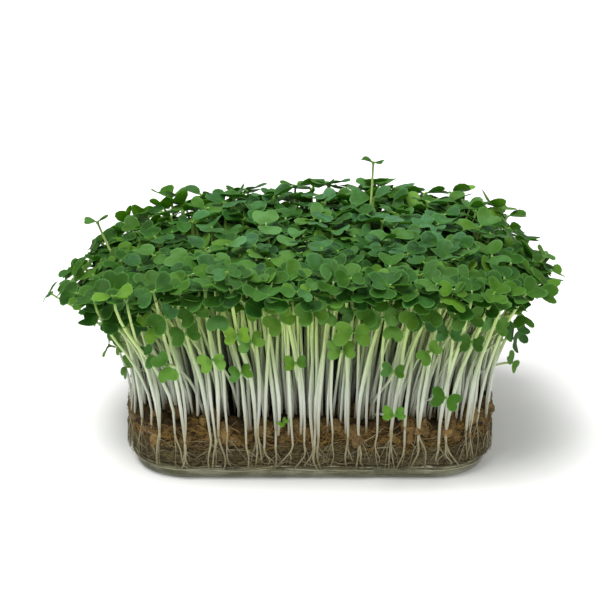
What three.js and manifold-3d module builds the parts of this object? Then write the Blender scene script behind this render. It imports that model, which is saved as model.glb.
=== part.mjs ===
// Microgreens on their growing mat: a block of brassica cress that stands in a low clear tray.
// Millimetres, +Z up, the long side along X and the front towards -Y. The origin is the middle of
// the tray's underside, on the surface that it stands on.
import * as THREE from "three";
import { mergeVertices } from "three/addons/utils/BufferGeometryUtils.js";
import Module from "manifold-3d";

const wasm = await Module();
wasm.setup();
const { Manifold, Mesh } = wasm;

// ---------------------------------------------------------------- driving dimensions
const GAP = 0.3; // clearance between pieces that touch

// Tray: a shallow thermoformed dish with a low lip.
const TRAY_HALF = new THREE.Vector2(61.8, 40.6);
const TRAY_CORNER = 20;
const TRAY_WALL = 0.7;
const TRAY_HEIGHT = 3.4;

// Root felt: fills the tray, spreads over its lip and carries the mat.
const FELT_TOP = 4.8;
const FELT_SPREAD = 1.5; // how far its brim reaches out over the lip
const STRAND_RADIUS = 0.5;
const STRAND_COUNT = 30;

// Growing mat: a fibre block with round corners.
const MAT_HALF = new THREE.Vector2(64, 42.6);
const MAT_CORNER = 22;
const MAT_BOTTOM = FELT_TOP + GAP;
const MAT_TOP = 22.4;
const MAT_EDGE = 1.6; // rounding of its lower and upper edge
const FELT_BRIM_INSET = MAT_HALF.x - TRAY_HALF.x - FELT_SPREAD; // how far the mat stands out over the brim

// Root plugs: each clump of sprouts holds in one, sunk in a plain hole in the mat.
const PLUG_HALF = new THREE.Vector2(5.6, 7.4);
const PLUG_BOTTOM = 13;
const PLUG_TOP = MAT_TOP - 0.4;
const PLUG_SIDES = 6;
const ROOT_DEPTH = 4; // how deep a stem is sunk in its plug
const ROOT_SPREAD = 0.62; // how far a clump's stems stand apart at the roots, as a share of the grid

// Sprouts: a grid of COLUMNS x ROWS, four of which share a plug.
const COLUMNS = 16;
const ROWS = 8;
const ROOT_HALF = new THREE.Vector2(63, 41.5); // reach of the grid at the roots
const CROWN_HALF = new THREE.Vector2(80, 52); // reach of the grid at the leaves
const CORNER_PULL = 0.3; // how far the grid's corners are drawn in
const CROWN_TOP = 80;
const CROWN_DROP = new THREE.Vector2(14, 2); // how much lower the leaves stand at the ends and sides
const CROWN_SLANT = 3.2; // how much the crown's left end leans below its middle
const FRONT_LEVEL = 0.65; // the share of that lean that the crown's front left corner lacks
const CROWN_TILT = THREE.MathUtils.degToRad(50); // how far the rim's leaves turn outwards
const LAYER_STEP = 4; // leaves stand in four layers, this far apart
const STEM_RADIUS = 0.95;
const STEM_STEPS = 4;
const LEAF_LENGTH = 10.5;
const LEAF_WIDTH = 10.6;
const LEAF_THICKNESS = 1.4;
const LEAF_CUP = 0.9; // how far a seed leaf's sides stand up from its middle
const LEAF_LIFT = THREE.MathUtils.degToRad(12); // how far each seed leaf stands up from its pair's plane

// Sprouts that stand out of the block: where their leaves are, and how far these turn outwards.
const LOOSE_SPROUTS = [
  { tip: [23, 34, 91], turn: 4 },
  { tip: [-76, 12, 76], turn: 12 },
  { tip: [-92, -8, 57], turn: 55 },
  { tip: [-84, 4, 60], turn: 40 },
  { tip: [-71, -16, 40], turn: 80 },
  { tip: [-76, -6, 47], turn: 80 },
  { tip: [70, -32, 40.5], turn: 75 },
  { tip: [85, 2, 61], turn: 30 },
  { tip: [82.5, -8, 71], turn: 30 },
  { tip: [-55, -49, 60.5], turn: 75 },
  { tip: [-49, -51, 47.5], turn: 78 },
  { tip: [-33, -52, 50], turn: 75 },
  { tip: [-20, -52, 56.5], turn: 65 },
  { tip: [-5, -52, 49], turn: 50 },
  { tip: [14.5, -53, 61], turn: 78 },
  { tip: [28, -51, 45.5], turn: 45 },
  { tip: [40, -52, 53], turn: 78 },
  { tip: [46, -53, 36.5], turn: 72 },
  { tip: [54.5, -47, 54.5], turn: 75 },
  { tip: [-40, 49, 50], turn: 75 },
  { tip: [-8, 51, 46], turn: 75 },
  { tip: [22, 50, 52], turn: 75 },
  { tip: [52, 47, 48], turn: 75 },
];

// ---------------------------------------------------------------- colours
const material = (color, roughness, more = {}) =>
  new THREE.MeshStandardMaterial({ color, roughness, metalness: 0, ...more });
const TRAY_FINISH = material(0xb9c0ae, 0.25, { transparent: true, opacity: 0.4 });
const FELT_FINISH = material(0x9a9880, 0.9);
const MAT_FINISH = material(0x5c4a26, 0.95);
const SPROUT_FINISH = material(0x4a8038, 0.6);

// ---------------------------------------------------------------- small helpers
const UP = new THREE.Vector3(0, 0, 1);

/** A repeatable draw from 0 to 1 for a place in the grid. */
function draw(i, j, k) {
  const s = Math.sin(i * 12.9898 + j * 78.233 + k * 37.719) * 43758.5453;
  return s - Math.floor(s);
}
const spread = (i, j, k, reach) => (2 * draw(i, j, k) - 1) * reach;

/** A closed geometry as a manifold-3d solid. */
function solidOf(geometry) {
  const bare = new THREE.BufferGeometry();
  bare.setAttribute("position", geometry.getAttribute("position"));
  bare.setIndex(geometry.index);
  const merged = mergeVertices(bare, 1e-4);
  return new Manifold(
    new Mesh({
      numProp: 3,
      vertProperties: new Float32Array(merged.attributes.position.array),
      triVerts: new Uint32Array(merged.index.array),
    }),
  );
}

/** A manifold-3d solid as a three.js geometry. */
function geometryOf(solid) {
  const { vertProperties, triVerts } = solid.getMesh();
  const geometry = new THREE.BufferGeometry()
    .setAttribute("position", new THREE.BufferAttribute(vertProperties, 3))
    .setIndex(new THREE.BufferAttribute(triVerts, 1));
  geometry.computeVertexNormals();
  return geometry;
}

/** A rectangle with round corners, as a closed shape. */
function roundedRectangle(half, corner) {
  const x = half.x - corner;
  const y = half.y - corner;
  const shape = new THREE.Shape();
  shape.moveTo(-x, -half.y);
  shape.lineTo(x, -half.y);
  shape.absarc(x, -y, corner, -Math.PI / 2, 0, false);
  shape.lineTo(half.x, y);
  shape.absarc(x, y, corner, 0, Math.PI / 2, false);
  shape.lineTo(-x, half.y);
  shape.absarc(-x, y, corner, Math.PI / 2, Math.PI, false);
  shape.lineTo(-half.x, -y);
  shape.absarc(-x, -y, corner, Math.PI, 1.5 * Math.PI, false);
  return shape;
}

/** A plate of that outline between two heights, with an optional straight bevel inside them. */
function plate(half, corner, bottom, top, { bevel = 0, steps = 1, curveSegments = 5 } = {}) {
  const inner = new THREE.Vector2(half.x - bevel, half.y - bevel);
  const geometry = new THREE.ExtrudeGeometry(roundedRectangle(inner, corner - bevel), {
    depth: top - bottom - 2 * bevel,
    steps,
    curveSegments,
    bevelEnabled: bevel > 0,
    bevelThickness: bevel,
    bevelSize: bevel,
    bevelSegments: 1,
  });
  return geometry.translate(0, 0, bottom + bevel);
}

/** The side faces between rings of corners that run counterclockwise seen from the last one. */
const ringSides = (rings) =>
  rings.slice(1).flatMap((high, n) => {
    const low = rings[n];
    return low.flatMap((corner, k) => {
      const next = (k + 1) % low.length;
      return [corner, low[next], high[next], corner, high[next], high[k]];
    });
  });

const inset = (half, by) => new THREE.Vector2(half.x - by, half.y - by);

// ---------------------------------------------------------------- tray
function tray() {
  const outer = solidOf(plate(TRAY_HALF, TRAY_CORNER, 0, TRAY_HEIGHT));
  const innerCorner = TRAY_CORNER - TRAY_WALL;
  const inner = plate(inset(TRAY_HALF, TRAY_WALL), innerCorner, TRAY_WALL, 2 * TRAY_HEIGHT);
  return outer.subtract(solidOf(inner));
}

// ---------------------------------------------------------------- root felt
const SIDE_POINTS = 360;

/** The point at a share of the way round the mat's side, the outward direction there and the way on. */
function matSide(share, offset) {
  const half = inset(MAT_HALF, -offset);
  const points = roundedRectangle(half, MAT_CORNER + offset).getSpacedPoints(SIDE_POINTS);
  const n = Math.floor(share * SIDE_POINTS);
  const at = points[n % SIDE_POINTS];
  const next = points[(n + 1) % SIDE_POINTS];
  const along = next.clone().sub(at).normalize();
  return { at, out: new THREE.Vector2(along.y, -along.x), along };
}

/** One root that leaves the felt's brim and climbs the mat's side, three-sided and nearly upright. */
function strand(k) {
  const off = STRAND_RADIUS + GAP + 0.1;
  const share = (k + 0.5 + spread(k, 3, 1, 0.3)) / STRAND_COUNT;
  const { at, along, out } = matSide(share, off);
  const top = MAT_TOP - 3 - 5 * draw(k, 3, 2);
  const levels = [
    { z: FELT_TOP - 0.8, sway: 0, tuck: FELT_BRIM_INSET + off + 0.4 },
    { z: MAT_BOTTOM + 0.5, sway: 0, tuck: 0 },
    { z: (MAT_BOTTOM + top) / 2, sway: spread(k, 3, 4, 0.8), tuck: 0 },
    { z: top, sway: spread(k, 3, 5, 1.6), tuck: 0 },
  ];
  const rings = levels.map(({ z, sway, tuck }) =>
    [0, 1, 2].map((n) => {
      const a = Math.atan2(out.y, out.x) + (n * 2 * Math.PI) / 3;
      const x = at.x + along.x * sway - out.x * tuck + STRAND_RADIUS * Math.cos(a);
      const y = at.y + along.y * sway - out.y * tuck + STRAND_RADIUS * Math.sin(a);
      return new THREE.Vector3(x, y, z);
    }),
  );
  const ends = [...rings[0]].reverse().concat(rings[levels.length - 1]);
  return solidOf(new THREE.BufferGeometry().setFromPoints([...ends, ...ringSides(rings)]));
}

function rootFelt() {
  const clear = TRAY_WALL + GAP;
  const pad = plate(inset(TRAY_HALF, clear), TRAY_CORNER - clear, clear, FELT_TOP - 0.5);
  const brim = plate(
    inset(TRAY_HALF, -FELT_SPREAD),
    TRAY_CORNER + FELT_SPREAD,
    TRAY_HEIGHT + GAP,
    FELT_TOP,
  );
  const strands = Array.from({ length: STRAND_COUNT }, (_, k) => strand(k));
  return Manifold.union([solidOf(pad), solidOf(brim), ...strands]);
}

// ---------------------------------------------------------------- sprouts
/** Half a two-lobed seed leaf's outline, as shares of its width and length, and its notch. */
const LEAF_NECK = 0.1;
const LEAF_EDGE = [
  [0.42, 0.28],
  [0.52, 0.66],
  [0.3, 0.98],
];
const LEAF_NOTCH = [0, 0.82];

/** The triangles from one corner to each side of a loop that runs round it. */
const fan = (centre, loop) => loop.flatMap((from, n) => [centre, from, loop[(n + 1) % loop.length]]);

/** The curve of a stem: up out of its plug, then over to where its leaves face. */
function stemPath({ root, tip, normal, bend }, sideways) {
  const reach = root.distanceTo(tip);
  const side = new THREE.Vector3(-normal.y, normal.x, 0);
  if (side.length() < 1e-3) side.set(1, 0, 0);
  side.setLength(sideways);
  const first = root.clone().addScaledVector(UP, reach * bend).add(side);
  const second = tip.clone().addScaledVector(normal, -reach * 0.3).add(side);
  return new THREE.CubicBezierCurve3(root, first, second, tip);
}

/**
 * A whole sprout as one closed surface: a three-sided stem, whose last ring opens into the underside
 * of a pair of two-lobed seed leaves. Each leaf is a thin bowl that fans out from its middle, alike
 * on both faces, and the two meet at the neck.
 */
function sproutSurface(sprout, { sideways, turn, size }) {
  const path = stemPath(sprout, sideways);
  const frames = path.computeFrenetFrames(STEM_STEPS);
  const upright = new THREE.Quaternion().setFromUnitVectors(UP, sprout.normal);
  const along = new THREE.Vector3(Math.cos(turn), Math.sin(turn), 0).applyQuaternion(upright);
  const across = new THREE.Vector3().crossVectors(along, sprout.normal);
  const twist = Math.atan2(
    along.dot(frames.binormals[STEM_STEPS]),
    along.dot(frames.normals[STEM_STEPS]),
  );

  const rings = frames.normals.map((normal, n) =>
    [0, 1, 2].map((k) => {
      const a = twist + (k * 2 * Math.PI) / 3;
      return path
        .getPointAt(n / STEM_STEPS)
        .addScaledVector(normal, STEM_RADIUS * Math.cos(a))
        .addScaledVector(frames.binormals[n], STEM_RADIUS * Math.sin(a));
    }),
  );
  const [front, left, right] = rings[STEM_STEPS];
  const corners = [...rings[0]].reverse().concat(ringSides(rings));

  // A place in the pair's own frame, whose plane lies just over the stem's end.
  const place = (x, y, z) =>
    sprout.tip
      .clone()
      .addScaledVector(across, x)
      .addScaledVector(along, y)
      .addScaledVector(sprout.normal, z + LEAF_THICKNESS / 3);
  const neck = LEAF_NECK * LEAF_WIDTH * size;
  const necks = [place(neck, 0, 0), place(-neck, 0, 0)];
  const crown = place(0, 0, LEAF_THICKNESS / 2);
  const lift = LEAF_LIFT + spread(...sprout.seed, 8, 0.1);
  for (const facing of [1, -1]) {
    const raised = (x, y, z) =>
      place(
        facing * x,
        facing * (y * Math.cos(lift) - z * Math.sin(lift)),
        y * Math.sin(lift) + z * Math.cos(lift),
      );
    const edge = [...LEAF_EDGE, LEAF_NOTCH, ...LEAF_EDGE.map(([x, y]) => [-x, y]).reverse()].map(
      ([x, y]) =>
        raised(x * LEAF_WIDTH * size, y * LEAF_LENGTH * size, LEAF_CUP * size * (2 * x) ** 2),
    );
    const middle = 0.48 * LEAF_LENGTH * size;
    const over = raised(0, middle, LEAF_THICKNESS / 2);
    const under = raised(0, middle, -LEAF_THICKNESS / 2);
    const [from, to] = facing > 0 ? necks : [...necks].reverse();
    const stemSide = facing > 0 ? [left, front, right] : [right, left];
    corners.push(...fan(over, [from, ...edge, to, crown]));
    corners.push(...fan(under, [from, ...edge, to, ...stemSide].reverse()));
  }
  const geometry = new THREE.BufferGeometry();
  return geometry.setFromPoints(corners);
}

/** The way that leaves face at a share a, b of the crown's reach: up, and turned outwards by a tilt. */
function crownNormal(a, b, tilt) {
  const out = new THREE.Vector3(a ** 3 / CROWN_HALF.x, b ** 3 / CROWN_HALF.y, 0).normalize();
  return out.multiplyScalar(Math.sin(tilt)).addScaledVector(UP, Math.cos(tilt));
}

/** Where the grid's sprout at odd steps i, j is rooted, and where its leaves are. */
function gridSprout(i, j) {
  const a = i / COLUMNS - 1;
  const b = j / ROWS - 1;
  const x = a * Math.sqrt(1 - CORNER_PULL * b * b);
  const y = b * Math.sqrt(1 - CORNER_PULL * a * a);
  const rim = Math.pow(a ** 4 + b ** 4, 0.25);
  const normal = crownNormal(a, b, CROWN_TILT * rim ** 3 + spread(i, j, 1, 0.1));
  const layer = ((i - 1) / 2) % 2 + 2 * (((j - 1) / 2) % 2);
  const drop = CROWN_DROP.x * a ** 4 + CROWN_DROP.y * b ** 4;
  const frontLeft = THREE.MathUtils.smoothstep(-b, -0.2, 0.9) * THREE.MathUtils.smoothstep(-a, -0.4, 0.6);
  const lean = CROWN_SLANT * (1 - a) * (1 - FRONT_LEVEL * frontLeft);
  const tip = new THREE.Vector3(
    CROWN_HALF.x * x + spread(i, j, 2, 1.2),
    CROWN_HALF.y * y + spread(i, j, 3, 1.2),
    CROWN_TOP - drop - lean + spread(i, j, 4, 0.8),
  ).addScaledVector(normal, -LAYER_STEP * layer);
  return {
    seed: [i, j],
    clump: [Math.floor((i - 1) / 4), Math.floor((j - 1) / 4)],
    ground: new THREE.Vector2(ROOT_HALF.x * x, ROOT_HALF.y * y),
    tip,
    normal,
    bend: 0.4,
  };
}

/** A sprout that stands out of the block, in the clump that is nearest to it. */
function looseSprout({ tip, turn }, k) {
  const at = new THREE.Vector3(...tip);
  const a = THREE.MathUtils.clamp(at.x / CROWN_HALF.x, -0.95, 0.95);
  const b = THREE.MathUtils.clamp(at.y / CROWN_HALF.y, -0.95, 0.95);
  return {
    seed: [100 + k, 0],
    clump: [
      Math.floor(((a + 1) / 2) * (COLUMNS / 2)),
      Math.floor(((b + 1) / 2) * (ROWS / 2)),
    ],
    ground: null,
    tip: at,
    normal: crownNormal(a, b, THREE.MathUtils.degToRad(turn)),
    bend: 0.5,
  };
}

/** True if a solid keeps clear of each of the others. */
function isClear(solid, others) {
  const box = solid.boundingBox();
  return others.every(({ solid: other, box: at }) => {
    const apart = [0, 1, 2].some(
      (n) => box.min[n] > at.max[n] + GAP || at.min[n] > box.max[n] + GAP,
    );
    return apart || solid.minGap(other, GAP) >= GAP;
  });
}

/** The first of some variants that keeps clear of the others, with its solid, or null. */
function firstClear(variants, make, others) {
  for (const variant of variants) {
    const solid = make(variant);
    if (isClear(solid, others)) return [variant, solid];
  }
  return null;
}

// A stem is bent to one side, and a pair of leaves turned and then made smaller, until it is clear.
const BENDS = [0, 1.5, -1.5, 3, -3, 4.5, -4.5, 6, -6];
const TURNS = Array.from({ length: 12 }, (_, n) => (n * 5 * Math.PI) / 12);
const SIZES = [1, 0.9, 0.8, 0.7, 0.6, 0.5, 0.4];
const BARE = 0.12; // the size of a pair of leaves where only the stem is tried

/** The clumps by name, each with its sprouts and the middle of its root plug. */
function gather(sprouts) {
  const clumps = new Map();
  for (const sprout of sprouts) {
    const key = sprout.clump.join("_");
    if (!clumps.has(key)) clumps.set(key, { at: sprout.clump, sprouts: [] });
    clumps.get(key).sprouts.push(sprout);
    sprout.key = key;
  }
  for (const clump of clumps.values()) {
    const grounds = clump.sprouts.filter(({ ground }) => ground).map(({ ground }) => ground);
    clump.centre = grounds
      .reduce((sum, ground) => sum.add(ground), new THREE.Vector2())
      .divideScalar(grounds.length);
    for (const sprout of clump.sprouts) {
      const from = (sprout.ground ?? clump.centre).clone().sub(clump.centre);
      sprout.root = new THREE.Vector3(
        clump.centre.x + from.x * ROOT_SPREAD,
        clump.centre.y + from.y * ROOT_SPREAD,
        MAT_TOP - ROOT_DEPTH,
      );
    }
  }
  return [...clumps.values()];
}

/** Every clump, with each sprout bent, turned and sized so that it keeps clear of the other clumps. */
function grow() {
  const sprouts = [];
  for (let j = 1; j < 2 * ROWS; j += 2)
    for (let i = 1; i < 2 * COLUMNS; i += 2) sprouts.push(gridSprout(i, j));
  LOOSE_SPROUTS.forEach((sprout, k) => sprouts.push(looseSprout(sprout, k)));
  const grown = gather(sprouts);

  // A sprout keeps clear of its own clump too where it can. What still crosses is fused there.
  const settle = (sprout, variants, step) => {
    const make = (variant) => solidOf(sproutSurface(sprout, variant));
    const others = sprouts.filter((other) => other !== sprout && other.solid);
    const strangers = others.filter((other) => other.key !== sprout.key);
    const found = firstClear(variants, make, others) ?? firstClear(variants, make, strangers);
    if (!found) throw new Error(`no room for the ${step} of the sprout at ${sprout.tip.toArray()}`);
    const [variant, solid] = found;
    Object.assign(sprout, { variant, solid, box: solid.boundingBox() });
  };
  for (const sprout of sprouts) {
    const variants = BENDS.map((sideways) => ({ sideways, turn: 0, size: BARE }));
    settle(sprout, variants, "stem");
  }
  for (const sprout of sprouts) {
    const { sideways } = sprout.variant;
    const start = Math.PI * draw(...sprout.seed, 5);
    const variants = SIZES.flatMap((size) =>
      TURNS.map((turn) => ({ sideways, turn: start + turn, size })),
    );
    settle(sprout, variants, "leaves");
  }
  return grown;
}

/** A clump's root plug, grown by some clearance. */
function plug(centre, grown, bottom, top) {
  const shape = new THREE.CylinderGeometry(1, 0.92, top - bottom, PLUG_SIDES)
    .rotateX(Math.PI / 2)
    .scale(PLUG_HALF.x + grown, PLUG_HALF.y + grown, 1)
    .translate(centre.x, centre.y, (top + bottom) / 2);
  return solidOf(shape);
}

function clumpSolid({ centre, sprouts }) {
  const roots = plug(centre, 0, PLUG_BOTTOM, PLUG_TOP);
  return Manifold.union([roots, ...sprouts.map(({ solid }) => solid)]);
}

// ---------------------------------------------------------------- growing mat
function growingMat(clumps) {
  const block = plate(MAT_HALF, MAT_CORNER, MAT_BOTTOM, MAT_TOP, {
    bevel: MAT_EDGE,
    steps: 2,
    curveSegments: 6,
  });
  const holes = clumps.map(({ centre }) =>
    plug(centre, GAP * 1.4, PLUG_BOTTOM - GAP, MAT_TOP + 5),
  );
  return solidOf(block).subtract(Manifold.union(holes));
}

// ---------------------------------------------------------------- the object
const microgreens = new THREE.Group();
function addPiece(name, solid, finish) {
  const mesh = new THREE.Mesh(geometryOf(solid), finish);
  mesh.name = name;
  microgreens.add(mesh);
}

const clumps = grow();
addPiece("tray", tray(), TRAY_FINISH);
addPiece("root_felt", rootFelt(), FELT_FINISH);
addPiece("growing_mat", growingMat(clumps), MAT_FINISH);
for (const clump of clumps) {
  const [column, row] = clump.at;
  addPiece(`sprouts_column_${column + 1}_row_${row + 1}`, clumpSolid(clump), SPROUT_FINISH);
}

export default microgreens;
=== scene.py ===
# %% [markdown]
# # A tray of microgreens
# A block of young brassica cress: more than a thousand sprouts stand in a brown fibre mat, their roots
# run down the mat's sides into a pale felt, and a low clear tray holds the foot. The measured solids of
# the part are loaded first and stay where they are. Everything below puts finer surfaces in their places.

# %% Load the fixed frame
import math
import bpy
import numpy as np
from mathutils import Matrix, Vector


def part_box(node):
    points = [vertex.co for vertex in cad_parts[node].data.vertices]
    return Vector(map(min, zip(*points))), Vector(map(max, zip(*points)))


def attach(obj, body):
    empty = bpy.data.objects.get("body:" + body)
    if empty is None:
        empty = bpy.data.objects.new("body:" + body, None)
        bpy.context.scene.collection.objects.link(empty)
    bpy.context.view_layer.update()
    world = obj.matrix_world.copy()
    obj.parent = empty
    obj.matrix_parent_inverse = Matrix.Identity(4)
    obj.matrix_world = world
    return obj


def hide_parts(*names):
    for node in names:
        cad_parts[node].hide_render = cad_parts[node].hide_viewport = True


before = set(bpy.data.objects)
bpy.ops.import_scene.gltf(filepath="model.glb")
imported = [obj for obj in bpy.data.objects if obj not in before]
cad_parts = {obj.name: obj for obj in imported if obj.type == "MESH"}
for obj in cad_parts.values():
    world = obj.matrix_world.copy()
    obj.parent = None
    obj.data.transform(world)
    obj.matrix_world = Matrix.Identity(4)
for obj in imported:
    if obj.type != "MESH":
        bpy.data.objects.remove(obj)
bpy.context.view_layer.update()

MM = 0.001

# %% [markdown]
# ## The sizes that the pieces share
# The mat and the tray are known from the frame, so their sizes are read there and not typed again. A box
# doesn't tell how round its corners are, nor how the clumps are counted, so that is stated here.

# %% Sizes from the frame, in millimetres
def corners(node):
    """Lowest and highest corner of a CAD node, in millimetres."""
    return [np.array(corner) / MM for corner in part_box(node)]


MAT_LOW, MAT_HIGH = corners("growing_mat")
MAT_HALF = MAT_HIGH[:2]
MAT_TOP = MAT_HIGH[2]
TRAY_HALF = corners("tray")[1][:2]
MAT_CORNER = 22.0
TRAY_CORNER = 20.0
CLUMP_COLUMNS, CLUMP_ROWS = 8, 4
clump_count = sum(name.startswith("sprouts_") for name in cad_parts)
print("mat half size", MAT_HALF.round(1), "from", MAT_LOW[2].round(1), "to", MAT_TOP.round(1))
print(clump_count, "clumps of sprouts in", CLUMP_COLUMNS, "columns and", CLUMP_ROWS, "rows")

# %% [markdown]
# ## Camera, floor and light
# The camera stands a little above the block and looks down on it by about twenty degrees, through a long
# lens, which is how such a tray is seen across a table. A pale floor, two large soft lamps and a bright
# even surrounding give the flat studio light that keeps leaves readable and shadows soft.

# %% Camera
CAMERA_DISTANCE = 900 * MM
CAMERA_RISE = np.radians(22)
CAMERA_AIM = Vector((-3.6, 0, 50.9)) * MM
LENS = 151.4

camera_data = bpy.data.cameras.new("camera")
camera_data.lens = LENS
camera_data.clip_start, camera_data.clip_end = 0.01, 20
camera = bpy.data.objects.new("camera", camera_data)
bpy.context.scene.collection.objects.link(camera)
back = Vector((0, -np.cos(CAMERA_RISE), np.sin(CAMERA_RISE)))
camera.location = CAMERA_AIM + back * CAMERA_DISTANCE
camera.rotation_mode = "QUATERNION"
camera.rotation_quaternion = (-back).to_track_quat("-Z", "Y")
bpy.context.scene.camera = camera
print("camera at", [round(c, 3) for c in camera.location])

# %% Shader arithmetic
class Value:
    """A shader socket that takes part in Python arithmetic: each operator adds one Math node."""

    def __init__(self, paint, socket):
        self.paint, self.socket = paint, socket

    def _maths(self, operation, *values):
        return self.paint.node("ShaderNodeMath", {"operation": operation}, list(values))

    def __add__(self, other):
        return self._maths("ADD", self, other)

    def __sub__(self, other):
        return self._maths("SUBTRACT", self, other)

    def __mul__(self, other):
        return self._maths("MULTIPLY", self, other)

    def clipped(self):
        """The value held between 0 and 1."""
        return self._maths("MINIMUM", self._maths("MAXIMUM", self, 0.0), 1.0)

    def wave(self):
        """The sine of the value."""
        return self._maths("SINE", self)

    def magnitude(self):
        """The value without its sign."""
        return self._maths("ABSOLUTE", self)


class Paint:
    """A material with its node tree, and the one method that adds nodes to it."""

    def __init__(self, name):
        self.material = bpy.data.materials.new(name)
        self.material.use_nodes = True
        self.tree = self.material.node_tree
        self.tree.nodes.clear()
        self.output = self.tree.nodes.new("ShaderNodeOutputMaterial")

    def node(self, kind, settings=None, inputs=(), output=0):
        """Adds a node, sets it up, fills its sockets by number or name, and returns one output."""
        node = self.tree.nodes.new(kind)
        for key, value in (settings or {}).items():
            setattr(node, key, value)
        pairs = inputs.items() if isinstance(inputs, dict) else enumerate(inputs)
        for key, value in pairs:
            if isinstance(value, Value):
                self.tree.links.new(value.socket, node.inputs[key])
            elif value is not None:
                node.inputs[key].default_value = value
        return Value(self, node.outputs[output])

    def attribute(self, name):
        """A value that the mesh carries on its points."""
        return self.node("ShaderNodeAttribute", {"attribute_name": name}, output="Fac")

    def place(self):
        """The point of the surface in the object's own frame, in metres."""
        return self.node("ShaderNodeTexCoord", output="Object")

    def noise(self, scale, detail=3.0, stretch=None, distortion=0.0):
        """Cloudy noise of so many features to a metre, which may be stretched along the axes."""
        at = self.place()
        if stretch:
            at = self.node("ShaderNodeVectorMath", {"operation": "MULTIPLY"}, [at, stretch])
        sockets = {"Vector": at, "Scale": scale, "Detail": detail, "Distortion": distortion}
        return self.node("ShaderNodeTexNoise", inputs=sockets)

    def blend(self, factor, first, second):
        """A mix of two colours: the first at a factor of 0, the second at 1."""
        sockets = {0: factor, 6: first, 7: second}
        return self.node("ShaderNodeMix", {"data_type": "RGBA"}, sockets, output=2)

    def ramp(self, factor, low, high):
        """0 where the factor is under low, 1 over high, and smooth between."""
        return self.node(
            "ShaderNodeMapRange",
            {"interpolation_type": "SMOOTHSTEP"},
            {"Value": factor, "From Min": low, "From Max": high},
        )

    def bump(self, height, strength, distance):
        """A normal for small relief, whose highest point stands up by the distance, in metres."""
        sockets = {"Strength": strength, "Distance": distance, "Height": height}
        return self.node("ShaderNodeBump", inputs=sockets)

    def surface(self, **sockets):
        """A Principled surface with these sockets."""
        named = {key.replace("_", " "): value for key, value in sockets.items()}
        return self.node("ShaderNodeBsdfPrincipled", inputs=named)

    def finish(self, surface):
        """Shows the surface and returns the finished material."""
        self.tree.links.new(surface.socket, self.output.inputs["Surface"])
        return self.material


def rgb(red, green, blue):
    """A colour given in the usual 0 to 255 display numbers, as linear light."""
    c = np.array([red, green, blue]) / 255
    linear = np.where(c <= 0.04045, c / 12.92, ((c + 0.055) / 1.055) ** 2.4)
    return (*linear, 1.0)


# %% Floor and light
FLOOR_REACH = 4.0
BEND_AT = 2.5
LAMP_SIZE = 0.9
LAMP_AIM = (0, 0, 0.05)


def plain_floor():
    """A wide pale sheet, in metres: flat under the tray, a quarter circle far behind it, then a wall."""
    turn = np.linspace(0.1, np.pi / 2, 8)
    flat = np.linspace(-FLOOR_REACH, BEND_AT, 4)
    y = np.concatenate([flat, BEND_AT + np.sin(turn), [BEND_AT + 1]])
    z = np.concatenate([0 * flat, 1 - np.cos(turn), [FLOOR_REACH]])
    across = np.linspace(-FLOOR_REACH, FLOOR_REACH, 3)
    points = [(x, b, c) for b, c in zip(y, z) for x in across]
    quads = [
        (3 * r + c, 3 * r + c + 1, 3 * r + c + 4, 3 * r + c + 3)
        for r in range(len(y) - 1)
        for c in range(2)
    ]
    mesh = bpy.data.meshes.new("floor")
    mesh.from_pydata(points, [], quads)
    mesh.shade_smooth()
    floor = bpy.data.objects.new("floor", mesh)
    bpy.context.scene.collection.objects.link(floor)
    paint = Paint("pale floor")
    mesh.materials.append(paint.finish(paint.surface(Base_Color=rgb(244, 244, 243), Roughness=0.9)))


def soft_lamp(name, place, power):
    """A large square lamp that points from a place, in metres, to the middle of the block."""
    data = bpy.data.lights.new(name, "AREA")
    data.size, data.energy = LAMP_SIZE, power
    lamp = bpy.data.objects.new(name, data)
    bpy.context.scene.collection.objects.link(lamp)
    lamp.location = place
    lamp.rotation_mode = "QUATERNION"
    lamp.rotation_quaternion = (Vector(LAMP_AIM) - Vector(place)).to_track_quat("-Z", "Y")


plain_floor()
soft_lamp("overhead", (-0.3, -0.25, 1.3), 25.6)
soft_lamp("front", (0.5, -1.5, 0.7), 7.0)
world = bpy.data.worlds.new("studio")
world.use_nodes = True
world.node_tree.nodes["Background"].inputs["Color"].default_value = (1, 1, 1, 1)
world.node_tree.nodes["Background"].inputs["Strength"].default_value = 0.58
bpy.context.scene.world = world
bpy.context.scene.view_settings.view_transform = "Standard"
print("a floor, a studio world and", len(bpy.data.lights), "lamps")

# %% [markdown]
# ## Surfaces as arrays
# Every piece below is a stack of like parts, such as a thousand stems. Each part is a grid of points,
# worked out for all copies at once. A small class gathers the grids of one piece and writes them into
# one mesh, with the values that the materials read.

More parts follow.
